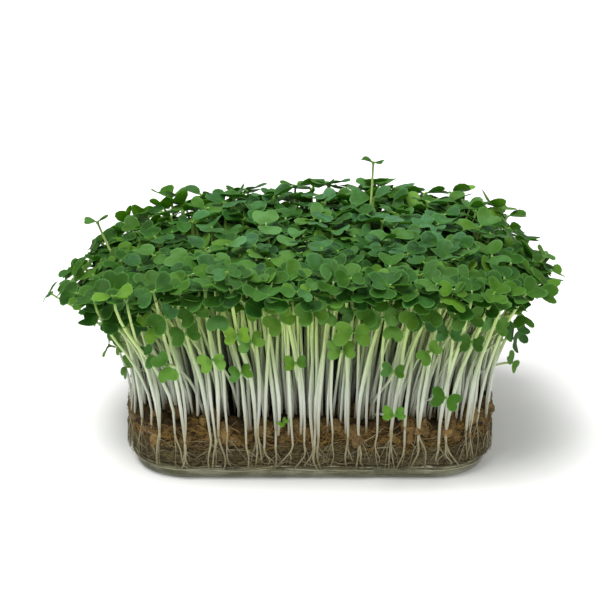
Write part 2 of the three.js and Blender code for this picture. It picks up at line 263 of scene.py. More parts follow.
# %% Gathering grids into a mesh
class Gathered:
    """Grids of points, their faces and their values, which become one mesh."""

    def __init__(self):
        self.points, self.faces, self.paints, self.values, self.count = [], [], [], [], 0

    def add(self, points, faces, paint, **values):
        """points: (..., 3). faces: arrays of corner numbers, each (n, corners). values: one a point."""
        flat = points.reshape(-1, 3)
        for face in faces:
            self.faces.append(face + self.count)
            self.paints.append(np.full(len(face), paint))
        filled = {
            key: np.broadcast_to(value, points.shape[:-1]).reshape(-1)
            for key, value in values.items()
        }
        self.points.append(flat)
        self.values.append(filled)
        self.count += len(flat)

    def build(self, name, materials, sharp=np.radians(50)):
        """Writes the mesh, in metres, smooth but for edges sharper than the angle."""
        points = np.concatenate(self.points) * MM
        sizes = np.concatenate([np.full(len(f), f.shape[1]) for f in self.faces])
        loops = np.concatenate([f.reshape(-1) for f in self.faces])
        mesh = bpy.data.meshes.new(name)
        mesh.vertices.add(len(points))
        mesh.vertices.foreach_set("co", points.astype(np.float32).ravel())
        mesh.loops.add(len(loops))
        mesh.loops.foreach_set("vertex_index", loops.astype(np.int32))
        mesh.polygons.add(len(sizes))
        starts = np.concatenate([[0], np.cumsum(sizes)[:-1]])
        mesh.polygons.foreach_set("loop_start", starts.astype(np.int32))
        mesh.polygons.foreach_set("material_index", np.concatenate(self.paints).astype(np.int32))
        for key in sorted({key for values in self.values for key in values}):
            joined = [v.get(key, np.zeros(len(p))) for v, p in zip(self.values, self.points)]
            layer = mesh.attributes.new(key, "FLOAT", "POINT")
            layer.data.foreach_set("value", np.concatenate(joined).astype(np.float32))
        mesh.update(calc_edges=True)
        mesh.validate()
        mesh.shade_smooth()
        mesh.set_sharp_from_angle(angle=sharp)
        for material in materials:
            mesh.materials.append(material)
        piece = bpy.data.objects.new(name, mesh)
        bpy.context.scene.collection.objects.link(piece)
        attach(piece, "root")
        return piece


def tube_faces(copies, rings, columns):
    """The faces of closed tubes: quads from each ring to the next, and one face over each end."""
    row = np.arange(rings - 1)[:, None]
    column = np.arange(columns)[None, :]
    after = (column + 1) % columns
    low, high = row * columns, (row + 1) * columns
    quads = np.stack([low + column, low + after, high + after, high + column], -1).reshape(-1, 4)
    start = (np.arange(copies) * rings * columns)[:, None]
    low_cap = start + np.arange(columns)[::-1]
    high_cap = start + (rings - 1) * columns + np.arange(columns)
    return [(quads[None] + start[..., None]).reshape(-1, 4), low_cap, high_cap]


def unit(vectors):
    """The vectors made 1 long."""
    return vectors / np.maximum(np.linalg.norm(vectors, axis=-1, keepdims=True), 1e-9)


def rods(paths, radii, sides):
    """Round rods along many paths at once.

    paths is (copies, rings, 3) and radii (copies, rings). A ring is a circle across the path. Its first
    point looks along one fixed direction made square to the path, so that rings don't twist.
    """
    copies, rings = paths.shape[:2]
    along = unit(np.gradient(paths, axis=1))
    fixed = np.array([0.36, 0.93, 0.05])
    side = unit(np.cross(along, fixed))
    other = np.cross(along, side)
    turn = np.arange(sides) / sides * 2 * np.pi
    circle = side[:, :, None] * np.cos(turn)[:, None] + other[:, :, None] * np.sin(turn)[:, None]
    points = paths[:, :, None] + circle * radii[:, :, None, None]
    return points, tube_faces(copies, rings, sides)


def bezier(points, t):
    """Bezier curves of degree n: the sum over k of (n over k) (1 - t)^(n - k) t^k times point k.

    points is a list of arrays, each (copies, 3), and t is an array of shares from 0 to 1.
    """
    degree = len(points) - 1
    t = t[None, :, None]
    weights = [math.comb(degree, k) * (1 - t) ** (degree - k) * t**k for k in range(degree + 1)]
    return sum(weight * point[:, None] for weight, point in zip(weights, points))


def smooth(value, low, high):
    """0 under low, 1 over high, and a smooth step between."""
    x = np.clip((value - low) / (high - low), 0, 1)
    return x * x * (3 - 2 * x)


HASH = (12.9898, 78.233, 37.719)
HASH_SPREAD = 43758.5453


def hashed(value):
    """A repeatable value from 0 to 1: what is left over from a large multiple of the sine."""
    s = np.sin(value) * HASH_SPREAD
    return s - np.floor(s)


def noise_at(points, scale, seed):
    """Smooth noise from -1 to 1: values drawn at whole steps of a lattice, blended between them."""
    p = points / scale + seed * 17.3
    cell = np.floor(p)
    part = p - cell
    ease = part * part * (3 - 2 * part)
    total = np.zeros(points.shape[:-1])
    for corner in np.ndindex(2, 2, 2):
        at = cell + corner
        weight = np.prod(np.where(corner, ease, 1 - ease), axis=-1)
        total += weight * (2 * hashed(at @ np.array(HASH)) - 1)
    return total


# %% [markdown]
# ## Where each sprout grows
# Seed is sown evenly, so the roots form a loose lattice. The leaves need more room than the seeds, so
# the block opens like a brush: the crown is wider than the mat, its rim hangs lower, and the leaves at
# the rim turn to the side. Every fourth sprout of the lattice is one that the solids have as well.

# %% The lattice of sprouts
COLUMNS, ROWS = 16, 8
ROOT_HALF = np.array([63, 41.5])
CROWN_HALF = np.array([80, 52])
CORNER_PULL = 0.3
CROWN_TOP = 80
END_DROP, SIDE_DROP = 14, 2
CROWN_SLANT = 3.2
FRONT_LEVEL = 0.65
CROWN_TILT = np.radians(50)
LAYER_STEP = 4
ROOT_LEVEL = MAT_TOP - 4
# The fine sprouts stand more freely than the solids' own, and their roots draw together in bunches.
FREEDOM = 2.2
BUNCH_SIZE, BUNCH_PULL = 9.0, 2.4


def draw(i, j, k):
    """A repeatable value from 0 to 1 for three whole numbers, such as a place in the lattice."""
    return hashed(i * HASH[0] + j * HASH[1] + k * HASH[2])


def swing(i, j, k, reach):
    """A repeatable value from -reach to reach."""
    return (2 * draw(i, j, k) - 1) * reach


def crown_normal(a, b, tilt):
    """The way that leaves face at a share a, b of the crown: up, and turned outwards by a tilt."""
    out = np.stack([a**3 / CROWN_HALF[0], b**3 / CROWN_HALF[1], 0 * a], -1)
    up = np.array([0, 0, 1.0])
    return unit(out) * np.sin(tilt)[:, None] + up * np.cos(tilt)[:, None]


def crown_height(a, b):
    """How high the crown stands at a share a, b of its reach: level, lower at the ends and to the left."""
    front_left = smooth(-b, -0.2, 0.9) * smooth(-a, -0.4, 0.6)
    lean = CROWN_SLANT * (1 - a) * (1 - FRONT_LEVEL * front_left)
    return CROWN_TOP - END_DROP * a**4 - SIDE_DROP * b**4 - lean


def lattice():
    """Roots, tips and facing of the lattice's sprouts. Odd steps are the solids' own sprouts."""
    i, j = np.meshgrid(np.arange(2 * COLUMNS + 1), np.arange(2 * ROWS + 1))
    i, j = i.ravel(), j.ravel()
    known = (i % 2 == 1) & (j % 2 == 1)
    free = np.where(known, 1.0, FREEDOM)
    a, b = i / COLUMNS - 1, j / ROWS - 1
    x, y = a * np.sqrt(1 - CORNER_PULL * b * b), b * np.sqrt(1 - CORNER_PULL * a * a)
    rim = (a**4 + b**4) ** 0.25
    tilt = CROWN_TILT * rim**3 + swing(i, j, 1, 0.1) * free
    normal = crown_normal(a, b, tilt)
    layer = np.where(known, (i // 2) % 2 + 2 * ((j // 2) % 2), 2.7 * draw(i, j, 6))
    front_rim = smooth(rim, 0.6, 1.0) * smooth(-b, -0.2, 0.4)
    layer = layer * (1 - np.where(known, 0.5, 0.7) * front_rim)
    tip = np.stack(
        [
            CROWN_HALF[0] * x + swing(i, j, 2, 1.2) * free,
            CROWN_HALF[1] * y + swing(i, j, 3, 1.2) * free,
            crown_height(a, b) + swing(i, j, 4, 0.8) * np.sqrt(free),
        ],
        -1,
    )
    tip -= normal * (LAYER_STEP * layer)[:, None]
    root = np.stack([ROOT_HALF[0] * x, ROOT_HALF[1] * y, np.full(len(x), ROOT_LEVEL)], -1)
    root[:, :2] += np.stack([swing(i, j, 7, 1.0), swing(i, j, 9, 1.0)], -1) * (free - 0.7)[:, None]
    bunch = np.stack([noise_at(root, BUNCH_SIZE, 61), noise_at(root, BUNCH_SIZE, 67)], -1)
    root[:, :2] += bunch * (BUNCH_PULL * (free > 1))[:, None]
    level = tilt * (0.25 + 0.17 * layer)
    return {"root": root, "tip": tip, "normal": normal, "facing": crown_normal(a, b, level)}


sprouts = lattice()
print(len(sprouts["root"]), "sprouts in the lattice")

# %% [markdown]
# ## Sprouts at the edge, and sprouts that lean out
# The seeds at the very edge root on the mat's side, so their roots show there. Late seeds stay small and
# fill the crown's shade. Some sprouts are tall, or bend out of the block and hold their leaves low. These
# are placed one by one, and the solids have the first of them too.

# %% Outlines with round corners
def outline(half, corner, shares):
    """Points on a rectangle with round corners, at shares of its length, and the outward directions.

    The outline is four quarter circles whose ends are joined by straight lines. A share of 0 is the
    right end of the front, and the shares run counterclockwise seen from above.
    """
    steps = 16
    turn = np.linspace(0, np.pi / 2, steps)
    angles = np.concatenate([turn + (q - 1) * np.pi / 2 for q in range(4)])
    signs = np.repeat([[1, -1], [1, 1], [-1, 1], [-1, -1]], steps, axis=0)
    out = np.stack([np.cos(angles), np.sin(angles)], -1)
    points = signs * (np.asarray(half) - corner) + corner * out
    points, out = np.vstack([points, points[:1]]), np.vstack([out, out[:1]])
    length = np.concatenate([[0], np.cumsum(np.linalg.norm(np.diff(points, axis=0), axis=1))])
    at = (np.asarray(shares) % 1) * length[-1]
    place = np.stack([np.interp(at, length, points[:, n]) for n in range(2)], -1)
    facing = np.stack([np.interp(at, length, out[:, n]) for n in range(2)], -1)
    return place, unit(facing)


# %% Edge sprouts
EDGE_COUNT = 118
EDGE_BUNCHES, EDGE_PULL = 31, 0.0056


def edge_shares():
    """Shares of the outline where the edge sprouts stand: the leaves evenly, the roots in bunches."""
    k = np.arange(EDGE_COUNT)
    even = (k + swing(k, 1, 1, 0.3)) / EDGE_COUNT
    wave = 2 * np.pi * EDGE_BUNCHES * even + 3 * np.sin(2 * np.pi * 4 * even)
    return even, even + EDGE_PULL * np.sin(wave)


def edge_sprouts():
    """Sprouts rooted on the mat's side, a few millimetres apart all the way round.

    Their leaves hang lower at the ends, most of all at the right one, and at the back.
    """
    k = np.arange(EDGE_COUNT)
    even, bunched = edge_shares()
    place, out = outline(MAT_HALF, MAT_CORNER, bunched)
    share = outline(MAT_HALF, MAT_CORNER, even)[0] / MAT_HALF
    tip = np.zeros((EDGE_COUNT, 3))
    tip[:, :2] = share * CROWN_HALF * (0.86 + 0.16 * draw(k, 1, 2))[:, None]
    tip[:, 0] += swing(k, 1, 3, 4)
    hang = 1.5 * smooth(-tip[:, 0], 35, 75) + 4.5 * smooth(tip[:, 0], 15, 60) + 3 * noise_at(tip, 22.0, 5)
    highest = crown_height(share[:, 0], share[:, 1]) + 1
    tip[:, 2] = np.minimum(76.5 + 6 * draw(k, 1, 4) - hang, highest)
    tip[:, 2] -= 7 * draw(k, 1, 7) * (share[:, 1] > 0.3)
    tilt = np.radians(8 + 14 * draw(k, 1, 5) + 36 * smooth(-tip[:, 2], -74, -62))
    end = smooth(np.abs(place[:, 0]) / MAT_HALF[0], 0.75, 0.95)
    low = 13 + 8 * draw(k, 1, 6)
    root = np.column_stack([place + out * (0.5 - 1.2 * end)[:, None], low + 0.85 * end * (20.5 - low)])
    normal = crown_normal(share[:, 0], share[:, 1], tilt)
    return {"root": root, "tip": tip, "normal": normal, "facing": normal}


# %% Late sprouts
LATE_COUNT = 400
BACK_COUNT = 100
BACK_TURN = np.radians(36)
LATE_DEPTH, LATE_SPREAD = 5, 12


def late_sprouts():
    """Small sprouts that came up late, with their leaves in the crown's shade.

    The last of them stand at the back and face the front, so that they close the crown behind.
    """
    k = np.arange(LATE_COUNT)
    share = np.column_stack([swing(k, 5, 1, 0.97), 0.97 * (2 * draw(k, 5, 2) ** 0.85 - 1)])
    share[-BACK_COUNT:, 1] = 0.95 - 0.5 * draw(k[-BACK_COUNT:], 5, 2)
    share *= np.sqrt(1 - CORNER_PULL * share[:, ::-1] ** 2)
    rim = smooth((share**4).sum(-1) ** 0.25, 0.6, 1.0)
    front = rim * (share[:, 1] < 0)
    height = crown_height(share[:, 0], share[:, 1]) - LATE_DEPTH + 2 * front
    height -= LATE_SPREAD * draw(k, 5, 3) * (1 - 0.7 * front)
    root = np.column_stack([share * ROOT_HALF * 0.97, np.full(LATE_COUNT, ROOT_LEVEL)])
    tip = np.column_stack([share * CROWN_HALF * 0.94, height])
    tilt = np.radians(12 + 20 * draw(k, 5, 4))
    tilt[-BACK_COUNT:] -= BACK_TURN
    normal = crown_normal(share[:, 0], share[:, 1], tilt)
    return {"root": root, "tip": tip, "normal": normal, "facing": normal}


# %% Loose sprouts
# One row a sprout: its tip in millimetres, how far its leaves turn outwards and about the stem, in
# degrees, their size, and how fresh their green is. These first ones are in the solids too.
LOOSE = [
    ((23, 34, 91), 4, 0, 0.62, 0.3),
    ((-76, 12, 76), 12, 10, 0.7, 0.5),
    ((-92, -8, 57), 55, 70, 0.7, 0.1),
    ((-84, 4, 60), 40, 20, 0.7, 0.2),
    ((-71, -16, 40), 80, 35, 0.6, 0.6),
    ((-76, -6, 47), 80, 80, 0.6, 0.3),
    ((70, -32, 40.5), 75, 30, 0.62, 0.4),
    ((85, 2, 61), 30, 10, 0.85, 0.4),
    ((82.5, -8, 71), 30, 60, 0.8, 0.4),
    ((-55, -49, 60.5), 75, 80, 0.76, 0.6),
    ((-49, -51, 47.5), 78, 82, 0.8, 0.9),
    ((-33, -52, 50), 75, 5, 0.74, 0.9),
    ((-20, -52, 56.5), 65, 20, 0.72, 0.9),
    ((-5, -52, 49), 50, 0, 0.58, 1.0),
    ((14.5, -53, 61), 78, 0, 1.0, 0.55),
    ((28, -51, 45.5), 45, 5, 0.6, 0.6),
    ((40, -52, 53), 78, 75, 0.68, 0.5),
    ((46, -53, 36.5), 72, 3, 0.8, 0.2),
    ((54.5, -47, 54.5), 75, 25, 0.7, 0.3),
    ((-40, 49, 50), 75, 30, 0.8, 0.8),
    ((-8, 51, 46), 75, 80, 0.8, 0.8),
    ((22, 50, 52), 75, 10, 0.8, 0.8),
    ((52, 47, 48), 75, 40, 0.8, 0.8),
]
# Only the fine pieces have these: small ones between the stems and round the ends and the back, tall ones
# that break the crown's front line, and darker ones that hang under its edge.
LOOSE += [
    ((-42, -52, 59.5), 70, 8, 0.78, 0.5),
    ((-55, -47, 49.5), 75, 75, 0.62, 0.6),
    ((-40, -51, 67.5), 60, 20, 0.8, 0.5),
    ((-24.5, -53, 59.5), 65, 5, 0.7, 0.9),
    ((-23.5, -53, 45.5), 72, 10, 0.62, 0.8),
    ((10.5, -53, 54), 50, 5, 0.74, 0.7),
    ((15, -52, 67.5), 65, 15, 0.76, 0.7),
    ((28.5, -52, 63), 72, 85, 0.8, 0.6),
    ((38.5, -52, 62.5), 65, 15, 0.68, 0.3),
    ((46, -51, 60), 68, 20, 0.72, 0.6),
    ((28.5, -54, 30.5), 45, 0, 0.6, 1.0),
    ((60, -42, 65.5), 60, 80, 0.8, 0.6),
    ((-9.4, -45, 23.5), 30, 60, 0.32, 1.0),
    ((-66, -30, 46.5), 75, 50, 0.62, 0.6),
    ((-64, -34, 40.5), 75, 10, 0.6, 0.6),
    ((70, -36, 55.5), 70, 60, 0.9, 0.3),
    ((71, -34, 50.5), 78, 80, 0.85, 0.2),
    ((62, -43, 60.5), 65, 20, 0.85, 0.6),
    ((34, -52, 67.5), 60, 60, 0.85, 0.5),
    ((-78, 8, 50), 80, 15, 0.7, 0.7),
    ((78, 10, 50), 80, 65, 0.7, 0.7),
    ((-62, 44, 55), 70, 20, 0.8, 0.7),
    ((-26, 52, 57), 70, 60, 0.8, 0.8),
    ((6, 52, 58), 65, 35, 0.8, 0.7),
    ((36, 51, 56), 70, 70, 0.8, 0.8),
    ((64, 42, 57), 70, 5, 0.8, 0.7),
    ((-15, -52, 69), 62, 8, 0.82, 0.5),
    ((-6.3, -51.5, 72), 48, 5, 0.76, 0.6),
    ((6, -52, 68.5), 64, 70, 0.72, 0.7),
    ((-27, -54, 82.5), 25, 10, 0.72, 0.1),
    ((-24.5, -54.5, 81), 35, 60, 0.7, 0.2),
    ((-22, -54, 79), 30, 35, 0.66, 0.3),
    ((-5, -54.5, 75), 35, 5, 0.7, 0.6),
    ((-1.5, -54.5, 76), 40, 50, 0.62, 0.5),
    ((13, -54.5, 80.5), 30, 15, 0.76, 0.1),
    ((47, -53, 76), 35, 10, 0.7, 0.4),
    ((-48, -51, 66), 66, 30, 0.9, 0.45),
    ((-31, -52.5, 68.5), 58, 80, 0.9, 0.45),
    ((-10.5, -53, 65.5), 68, 40, 0.86, 0.6),
    ((1, -53, 69.5), 55, 15, 0.9, 0.4),
    ((20.5, -53, 70), 60, 55, 0.92, 0.5),
    ((23.5, -53, 66), 70, 5, 0.8, 0.7),
    ((41.5, -52.5, 69.5), 58, 80, 0.92, 0.4),
    ((52.5, -49.5, 66), 66, 25, 0.9, 0.45),
    ((-60, -44, 62), 70, 70, 0.86, 0.2),
    ((-66, -38, 56), 74, 20, 0.8, 0.3),
]


def loose_sprouts():
    """The sprouts of the table. Each is rooted at its tip's share of the mat."""
    tip = np.array([row[0] for row in LOOSE], float)
    share = np.clip(tip[:, :2] / CROWN_HALF, -0.95, 0.95)
    normal = crown_normal(share[:, 0], share[:, 1], np.radians([row[1] for row in LOOSE]))
    root = np.column_stack([share * ROOT_HALF * 0.94, np.full(len(tip), ROOT_LEVEL)])
    return {"root": root, "tip": tip, "normal": normal, "facing": normal}


def joined(groups):
    """Groups of sprouts, one after the other."""
    return {key: np.concatenate([group[key] for group in groups]) for key in groups[0]}


EDGE_FROM = len(sprouts["root"])
LATE_FROM = EDGE_FROM + EDGE_COUNT
LOOSE_FROM = LATE_FROM + LATE_COUNT
sprouts = joined([sprouts, edge_sprouts(), late_sprouts(), loose_sprouts()])
SPROUTS = len(sprouts["root"])
edge, late, loose = slice(EDGE_FROM, LATE_FROM), slice(LATE_FROM, LOOSE_FROM), slice(LOOSE_FROM, None)
print(SPROUTS, "sprouts in all")

# %% [markdown]
# ## Turning and spacing the leaves
# A sprout has two seed leaves that face away from each other. Each pair is turned at random about its
# stem. Leaves that would lie in one another are then pushed apart a little, mostly up or down, as real
# ones slide over their neighbours.

# %% Leaf pairs
BLADE_LENGTH = 6.6
LATE_SIZE = 0.88
LOOSE_STALK = 0.6
NOD = 0.19
# The middle of a blade, as a share of its length from the stalk.
MIDDLE = 0.45

index = np.arange(SPROUTS)
spin = 2 * np.pi * draw(index, 2, 1)
size = 0.84 + 0.36 * draw(index, 2, 2)
fresh = 0.6 * draw(index, 2, 3) ** 3
size[late] *= LATE_SIZE
fresh[edge] += 0.1
fresh[late] += 0.4
spin[loose] = np.radians([row[2] for row in LOOSE])
size[loose] = [row[3] for row in LOOSE]
fresh[loose] = [row[4] for row in LOOSE]
blade_length = BLADE_LENGTH * size
stalk_length = size.copy()
stalk_length[loose] = LOOSE_STALK
nod = np.stack([swing(index, 6, n, NOD) for n in range(3)], -1)
nod[late] *= 2
facing = unit(sprouts["facing"] + nod)
facing[loose] = sprouts["normal"][loose]


def frames_of(normal, turn):
    """Two directions square to each normal, turned about it: along the pair, and across it."""
    level = unit(np.cross(normal, [0.0, 1.0, 0.02]))
    other = np.cross(normal, level)
    c, s = np.cos(turn)[:, None], np.sin(turn)[:, None]
    along = level * c + other * s
    return along, np.cross(along, normal)


def leaf_centres(tip, normal, turn):
    """The middles of all first leaves, and then of all second ones."""
    along, _ = frames_of(normal, turn)
    reach = (stalk_length + MIDDLE * blade_length)[:, None]
    return np.concatenate([tip + along * reach, tip - along * reach])


# What share of an overlap one round takes away, how far it slides leaves apart, and its longest step.
LIFT, SLIDE, LONGEST_STEP = 0.22, 0.12, 0.8
# How little the loose sprouts give way, how far tips may sink or rise, and how far back they may go.
LOOSE_GIVES = 0.3
SINK, RISE = 1.5, 0.6
BACK_REACH = 54


def spaced(tip, normal, turn, rounds=24, reach=6.0, clear=1.5):
    """The tips after leaves that lie in one another were pushed apart, mostly along their normals.

    Two leaves lie in one another when their middles are nearer than the reach, and less than the clear
    distance apart in height.
    """
    both = np.concatenate([normal, normal])
    gives = np.where(np.arange(2 * SPROUTS) % SPROUTS >= LOOSE_FROM, LOOSE_GIVES, 1.0)
    began = tip
    for _ in range(rounds):
        centre = leaf_centres(tip, normal, turn)
        first, second = near_pairs(centre, reach)
        apart = centre[first] - centre[second]
        way = unit(both[first] + both[second])
        height = (apart * way).sum(-1)
        level = apart - way * height[:, None]
        close = (np.linalg.norm(level, axis=-1) < reach) & (np.abs(height) < clear)
        push = np.where(height >= 0, 1, -1) * (clear - np.abs(height)) * LIFT
        step = (way * push[:, None] + unit(level) * SLIDE) * close[:, None]
        moved = np.zeros_like(centre)
        np.add.at(moved, first, step)
        np.add.at(moved, second, -step)
        moved *= gives[:, None]
        tip = tip + np.clip(moved[:SPROUTS] + moved[SPROUTS:], -LONGEST_STEP, LONGEST_STEP)
        tip[:, 2] = np.clip(tip[:, 2], began[:, 2] - SINK, began[:, 2] + RISE)
        tip[:, 1] = np.minimum(tip[:, 1], BACK_REACH)
    return tip


# How many points are compared with all the others at once.
BLOCK = 256


def near_pairs(points, reach):
    """Numbers of the points that are nearer to each other than the reach, not counting a leaf's twin."""
    first, second = [], []
    for start in range(0, len(points), BLOCK):
        block = points[start : start + BLOCK]
        distance = np.linalg.norm(block[:, None] - points[None], axis=-1)
        f, s = np.nonzero(distance < reach)
        f = f + start
        keep = (f < s) & ((s - f) != SPROUTS)
        first.append(f[keep])
        second.append(s[keep])
    return np.concatenate(first), np.concatenate(second)


tip = spaced(sprouts["tip"], facing, spin)
print("leaf tips moved by", round(float(np.linalg.norm(tip - sprouts["tip"], axis=1).mean()), 2), "mm")
sprouts["tip"] = tip

# %% [markdown]
# ## Stems
# A stem leaves its root upright, bends, and ends in the way that its leaves face, which is the shape of
# a cubic Bezier curve. It thins upwards and wavers slightly. Below the middle it grew in the dark of the
# tray and stayed white, and above it turns green, so each point carries how green it is.

# %% Stem curves
STEM_RINGS, STEM_SIDES = 11, 6
t_stem = np.linspace(0, 1, STEM_RINGS)
# Shares of a stem's length: how far it rises straight from its root, how far it keeps to the way that
# its leaves face, and how far it bows aside.
UPRIGHT, KEPT, BOW = 0.42, 0.3, 0.05
WAVER_SIZE, WAVER = 13.0, 0.7


def stem_paths():
    """Cubic Bezier curves: root, a point over it, a point behind the leaves, and the tip."""
    root, tip, normal = sprouts["root"], sprouts["tip"], sprouts["normal"]
    reach = np.linalg.norm(tip - root, axis=1)[:, None]
    bow = np.column_stack([swing(index, 3, 1, 1), swing(index, 3, 2, 1), np.zeros(SPROUTS)])
    first = root + np.array([0, 0, 1.0]) * reach * UPRIGHT + bow * reach * BOW
    second = tip - normal * reach * KEPT - bow * reach * (0.8 * BOW)
    curve = bezier([root, first, second, tip], t_stem)
    aside = [noise_at(curve, WAVER_SIZE, seed) for seed in (3, 8)]
    waver = np.stack([*aside, np.zeros(curve.shape[:2])], -1)
    return curve + waver * (WAVER * np.sin(np.pi * t_stem))[None, :, None]


stems = stem_paths()
STEM_RADIUS = 0.7
STEM_TAPER = 0.16
FOOT_THIN = 0.6
LOOSE_THIN = 0.78
foot_loss = STEM_RADIUS * (1 - FOOT_THIN) * smooth(-t_stem, -0.2, 0.0)
stem_radius = STEM_RADIUS - STEM_TAPER * t_stem - foot_loss
stem_radius = stem_radius[None] * (0.8 + 0.36 * draw(index, 3, 3))[:, None]
stem_radius[loose] *= LOOSE_THIN
# What the stems' paint reads: how green, how far the foot is stained, husky or shaded.
high = smooth(stems[..., 2], 26, 62)
near_leaf = smooth(t_stem[None], 0.55, 1.0)
stem_green = np.maximum(high, near_leaf * 0.85) + smooth(t_stem[None], 0.85, 1.0)
on_edge = ((index >= EDGE_FROM) & (index < LATE_FROM))[:, None]
stem_foot = smooth(-stems[..., 2], -32, -18) * on_edge
stem_husk = smooth(-stems[..., 2], -28, -21.5) * ~on_edge
rim_share = (np.abs(sprouts["root"][:, :2] / (MAT_HALF + 2)) ** 4).sum(-1) ** 0.25
inside = smooth((1 - rim_share) * MAT_HALF[1], 2, 11)[:, None]
stem_shade = inside * smooth(-stems[..., 2], -54, -30)
print("stems from", stems[..., 2].min().round(1), "to", stems[..., 2].max().round(1), "mm high")

# %% [markdown]
# ## Seed leaves
# A brassica's seed leaf has two round lobes and a notch at its tip, like a wide heart on a short stalk.
# Its rim is nine points of the right half, from the notch round the lobe to the stalk, and their mirror
# image. The leaf is folded a little along its middle, cupped and waved, with its own upper and lower
# face and a thin rim between them.

# %% One blade on two parameters
# Across and along the blade, as shares of its length.
HALF_RIM = [(0, 0.79), (0.12, 0.88), (0.28, 0.97), (0.47, 0.97), (0.64, 0.83), (0.7, 0.58), (0.58, 0.29)]
HALF_RIM += [(0.32, 0.1), (0, 0)]
RIM = np.array(HALF_RIM + [(-x, y) for x, y in HALF_RIM[-2:0:-1]])
# Each ring's share of the rim, and 1 on the upper face or 0 on the lower one.
BLADE_RINGS = [(0.16, 1), (0.62, 1), (1.0, 1), (1.0, 0), (0.5, 0)]
BLADE_THICK = 0.34


def blades(base, along, across, normal, length, fold, cup, wave):
    """Points of many blades: rings from the middle of the upper face, over the rim, to the lower face.

    A ring is the rim drawn in towards the middle by a share. A point's height is a fold, which grows
    with the distance from the midrib, a cup, which grows with the square of the distance from the
    middle, and a wave along the rim.
    """
    share = np.array([ring[0] for ring in BLADE_RINGS])[:, None]
    upper = np.array([ring[1] for ring in BLADE_RINGS])[:, None]
    x = RIM[:, 0] * share
    y = MIDDLE + (RIM[:, 1] - MIDDLE) * share
    turn = np.arange(len(RIM)) / len(RIM) * 2 * np.pi
    n = (slice(None), None, None)
    height = (
        fold[n] * (np.sqrt(x**2 + 0.01) - 0.1)
        + cup[n] * (x**2 + 0.6 * (y - MIDDLE) ** 2)
        + wave[n] * np.sin(3 * turn + 40 * wave[n]) * share**2
    )
    thick = BLADE_THICK * (1 - 0.6 * share**2) * (upper - 0.5)
    scale = length[:, None, None, None]
    points = (
        base[:, None, None]
        + across[:, None, None] * (x[None, ..., None] * scale)
        + along[:, None, None] * (y[None, ..., None] * scale)
        + normal[:, None, None] * (height[..., None] * scale + thick[None, ..., None])
    )
    shape = points.shape[:-1]
    values = {"blade_x": x, "blade_y": y, "upper": upper, "outer": share}
    return points, {key: np.broadcast_to(value, shape) for key, value in values.items()}


# %% Both leaves of every sprout
# Radii from the stem's end to the blade, in millimetres.
STALK_RADII = [0.56, 0.45, 0.42, 0.4]
STALK_SIDES = 5


def leaf_pairs():
    """Stalks and blades of all pairs. A stalk is a quadratic Bezier from the stem's end to its blade.

    Each leaf is lifted, turned and rolled a little, and the second one of a pair is the smaller.
    """
    stalks, leaves = [], []
    tip, normal = sprouts["tip"], facing
    pair_along, _ = frames_of(normal, spin)
    for n, side in enumerate((1, -1)):
        k = 20 + 10 * n
        lift = np.radians(8) + swing(index, k, 1, 0.2)
        lift[loose] = np.radians(6) + swing(index[loose], k, 1, 0.16)
        turn = swing(index, k, 2, 0.25)
        along = pair_along * side
        across = np.cross(along, normal)
        along = along * np.cos(turn)[:, None] + across * np.sin(turn)[:, None]
        rise = along * np.cos(lift)[:, None] + normal * np.sin(lift)[:, None]
        across = unit(np.cross(rise, normal))
        roll = swing(index, k, 3, 0.25)
        above = np.cross(across, rise)
        across, above = (
            across * np.cos(roll)[:, None] + above * np.sin(roll)[:, None],
            above * np.cos(roll)[:, None] - across * np.sin(roll)[:, None],
        )
        own = blade_length * (1 if n == 0 else 0.9)
        reach = (stalk_length * (0.8 + 0.4 * draw(index, k, 4)))[:, None]
        start = tip - normal * 0.6
        elbow = tip + normal * reach * 0.35 + rise * reach * 0.3
        base = tip + normal * reach * 0.2 + rise * reach
        stalks.append(bezier([start, elbow, base], np.linspace(0, 1, len(STALK_RADII))))
        fold = 0.08 + swing(index, k, 5, 0.28)
        cup = 0.08 + swing(index, k, 6, 0.5)
        wave = swing(index, k, 7, 0.09)
        points, values = blades(base - rise * 0.3, rise, across, above, own, fold, cup, wave)
        leaves.append((points, values))
    return stalks, leaves


stalks, leaves = leaf_pairs()
print("leaves span", [round(float(np.ptp(leaves[0][0][..., n])), 1) for n in range(3)], "mm")

# %% [markdown]
# ## Leaf and stem materials
# A seed leaf is matt with a wax bloom on top, a little paler along its veins and underneath, and it lets
# some light through, which turns it a brighter yellow green. No two are quite alike, so the green shifts
# with the sprout and over the blade. High leaves get a painted sheen, low leaves and each blade's base
# painted shade, and the rim a painted highlight. A stem is watery: white below, yellow green above.

# %% Leaf paint
LIGHT_THROUGH_LEAF = 0.28


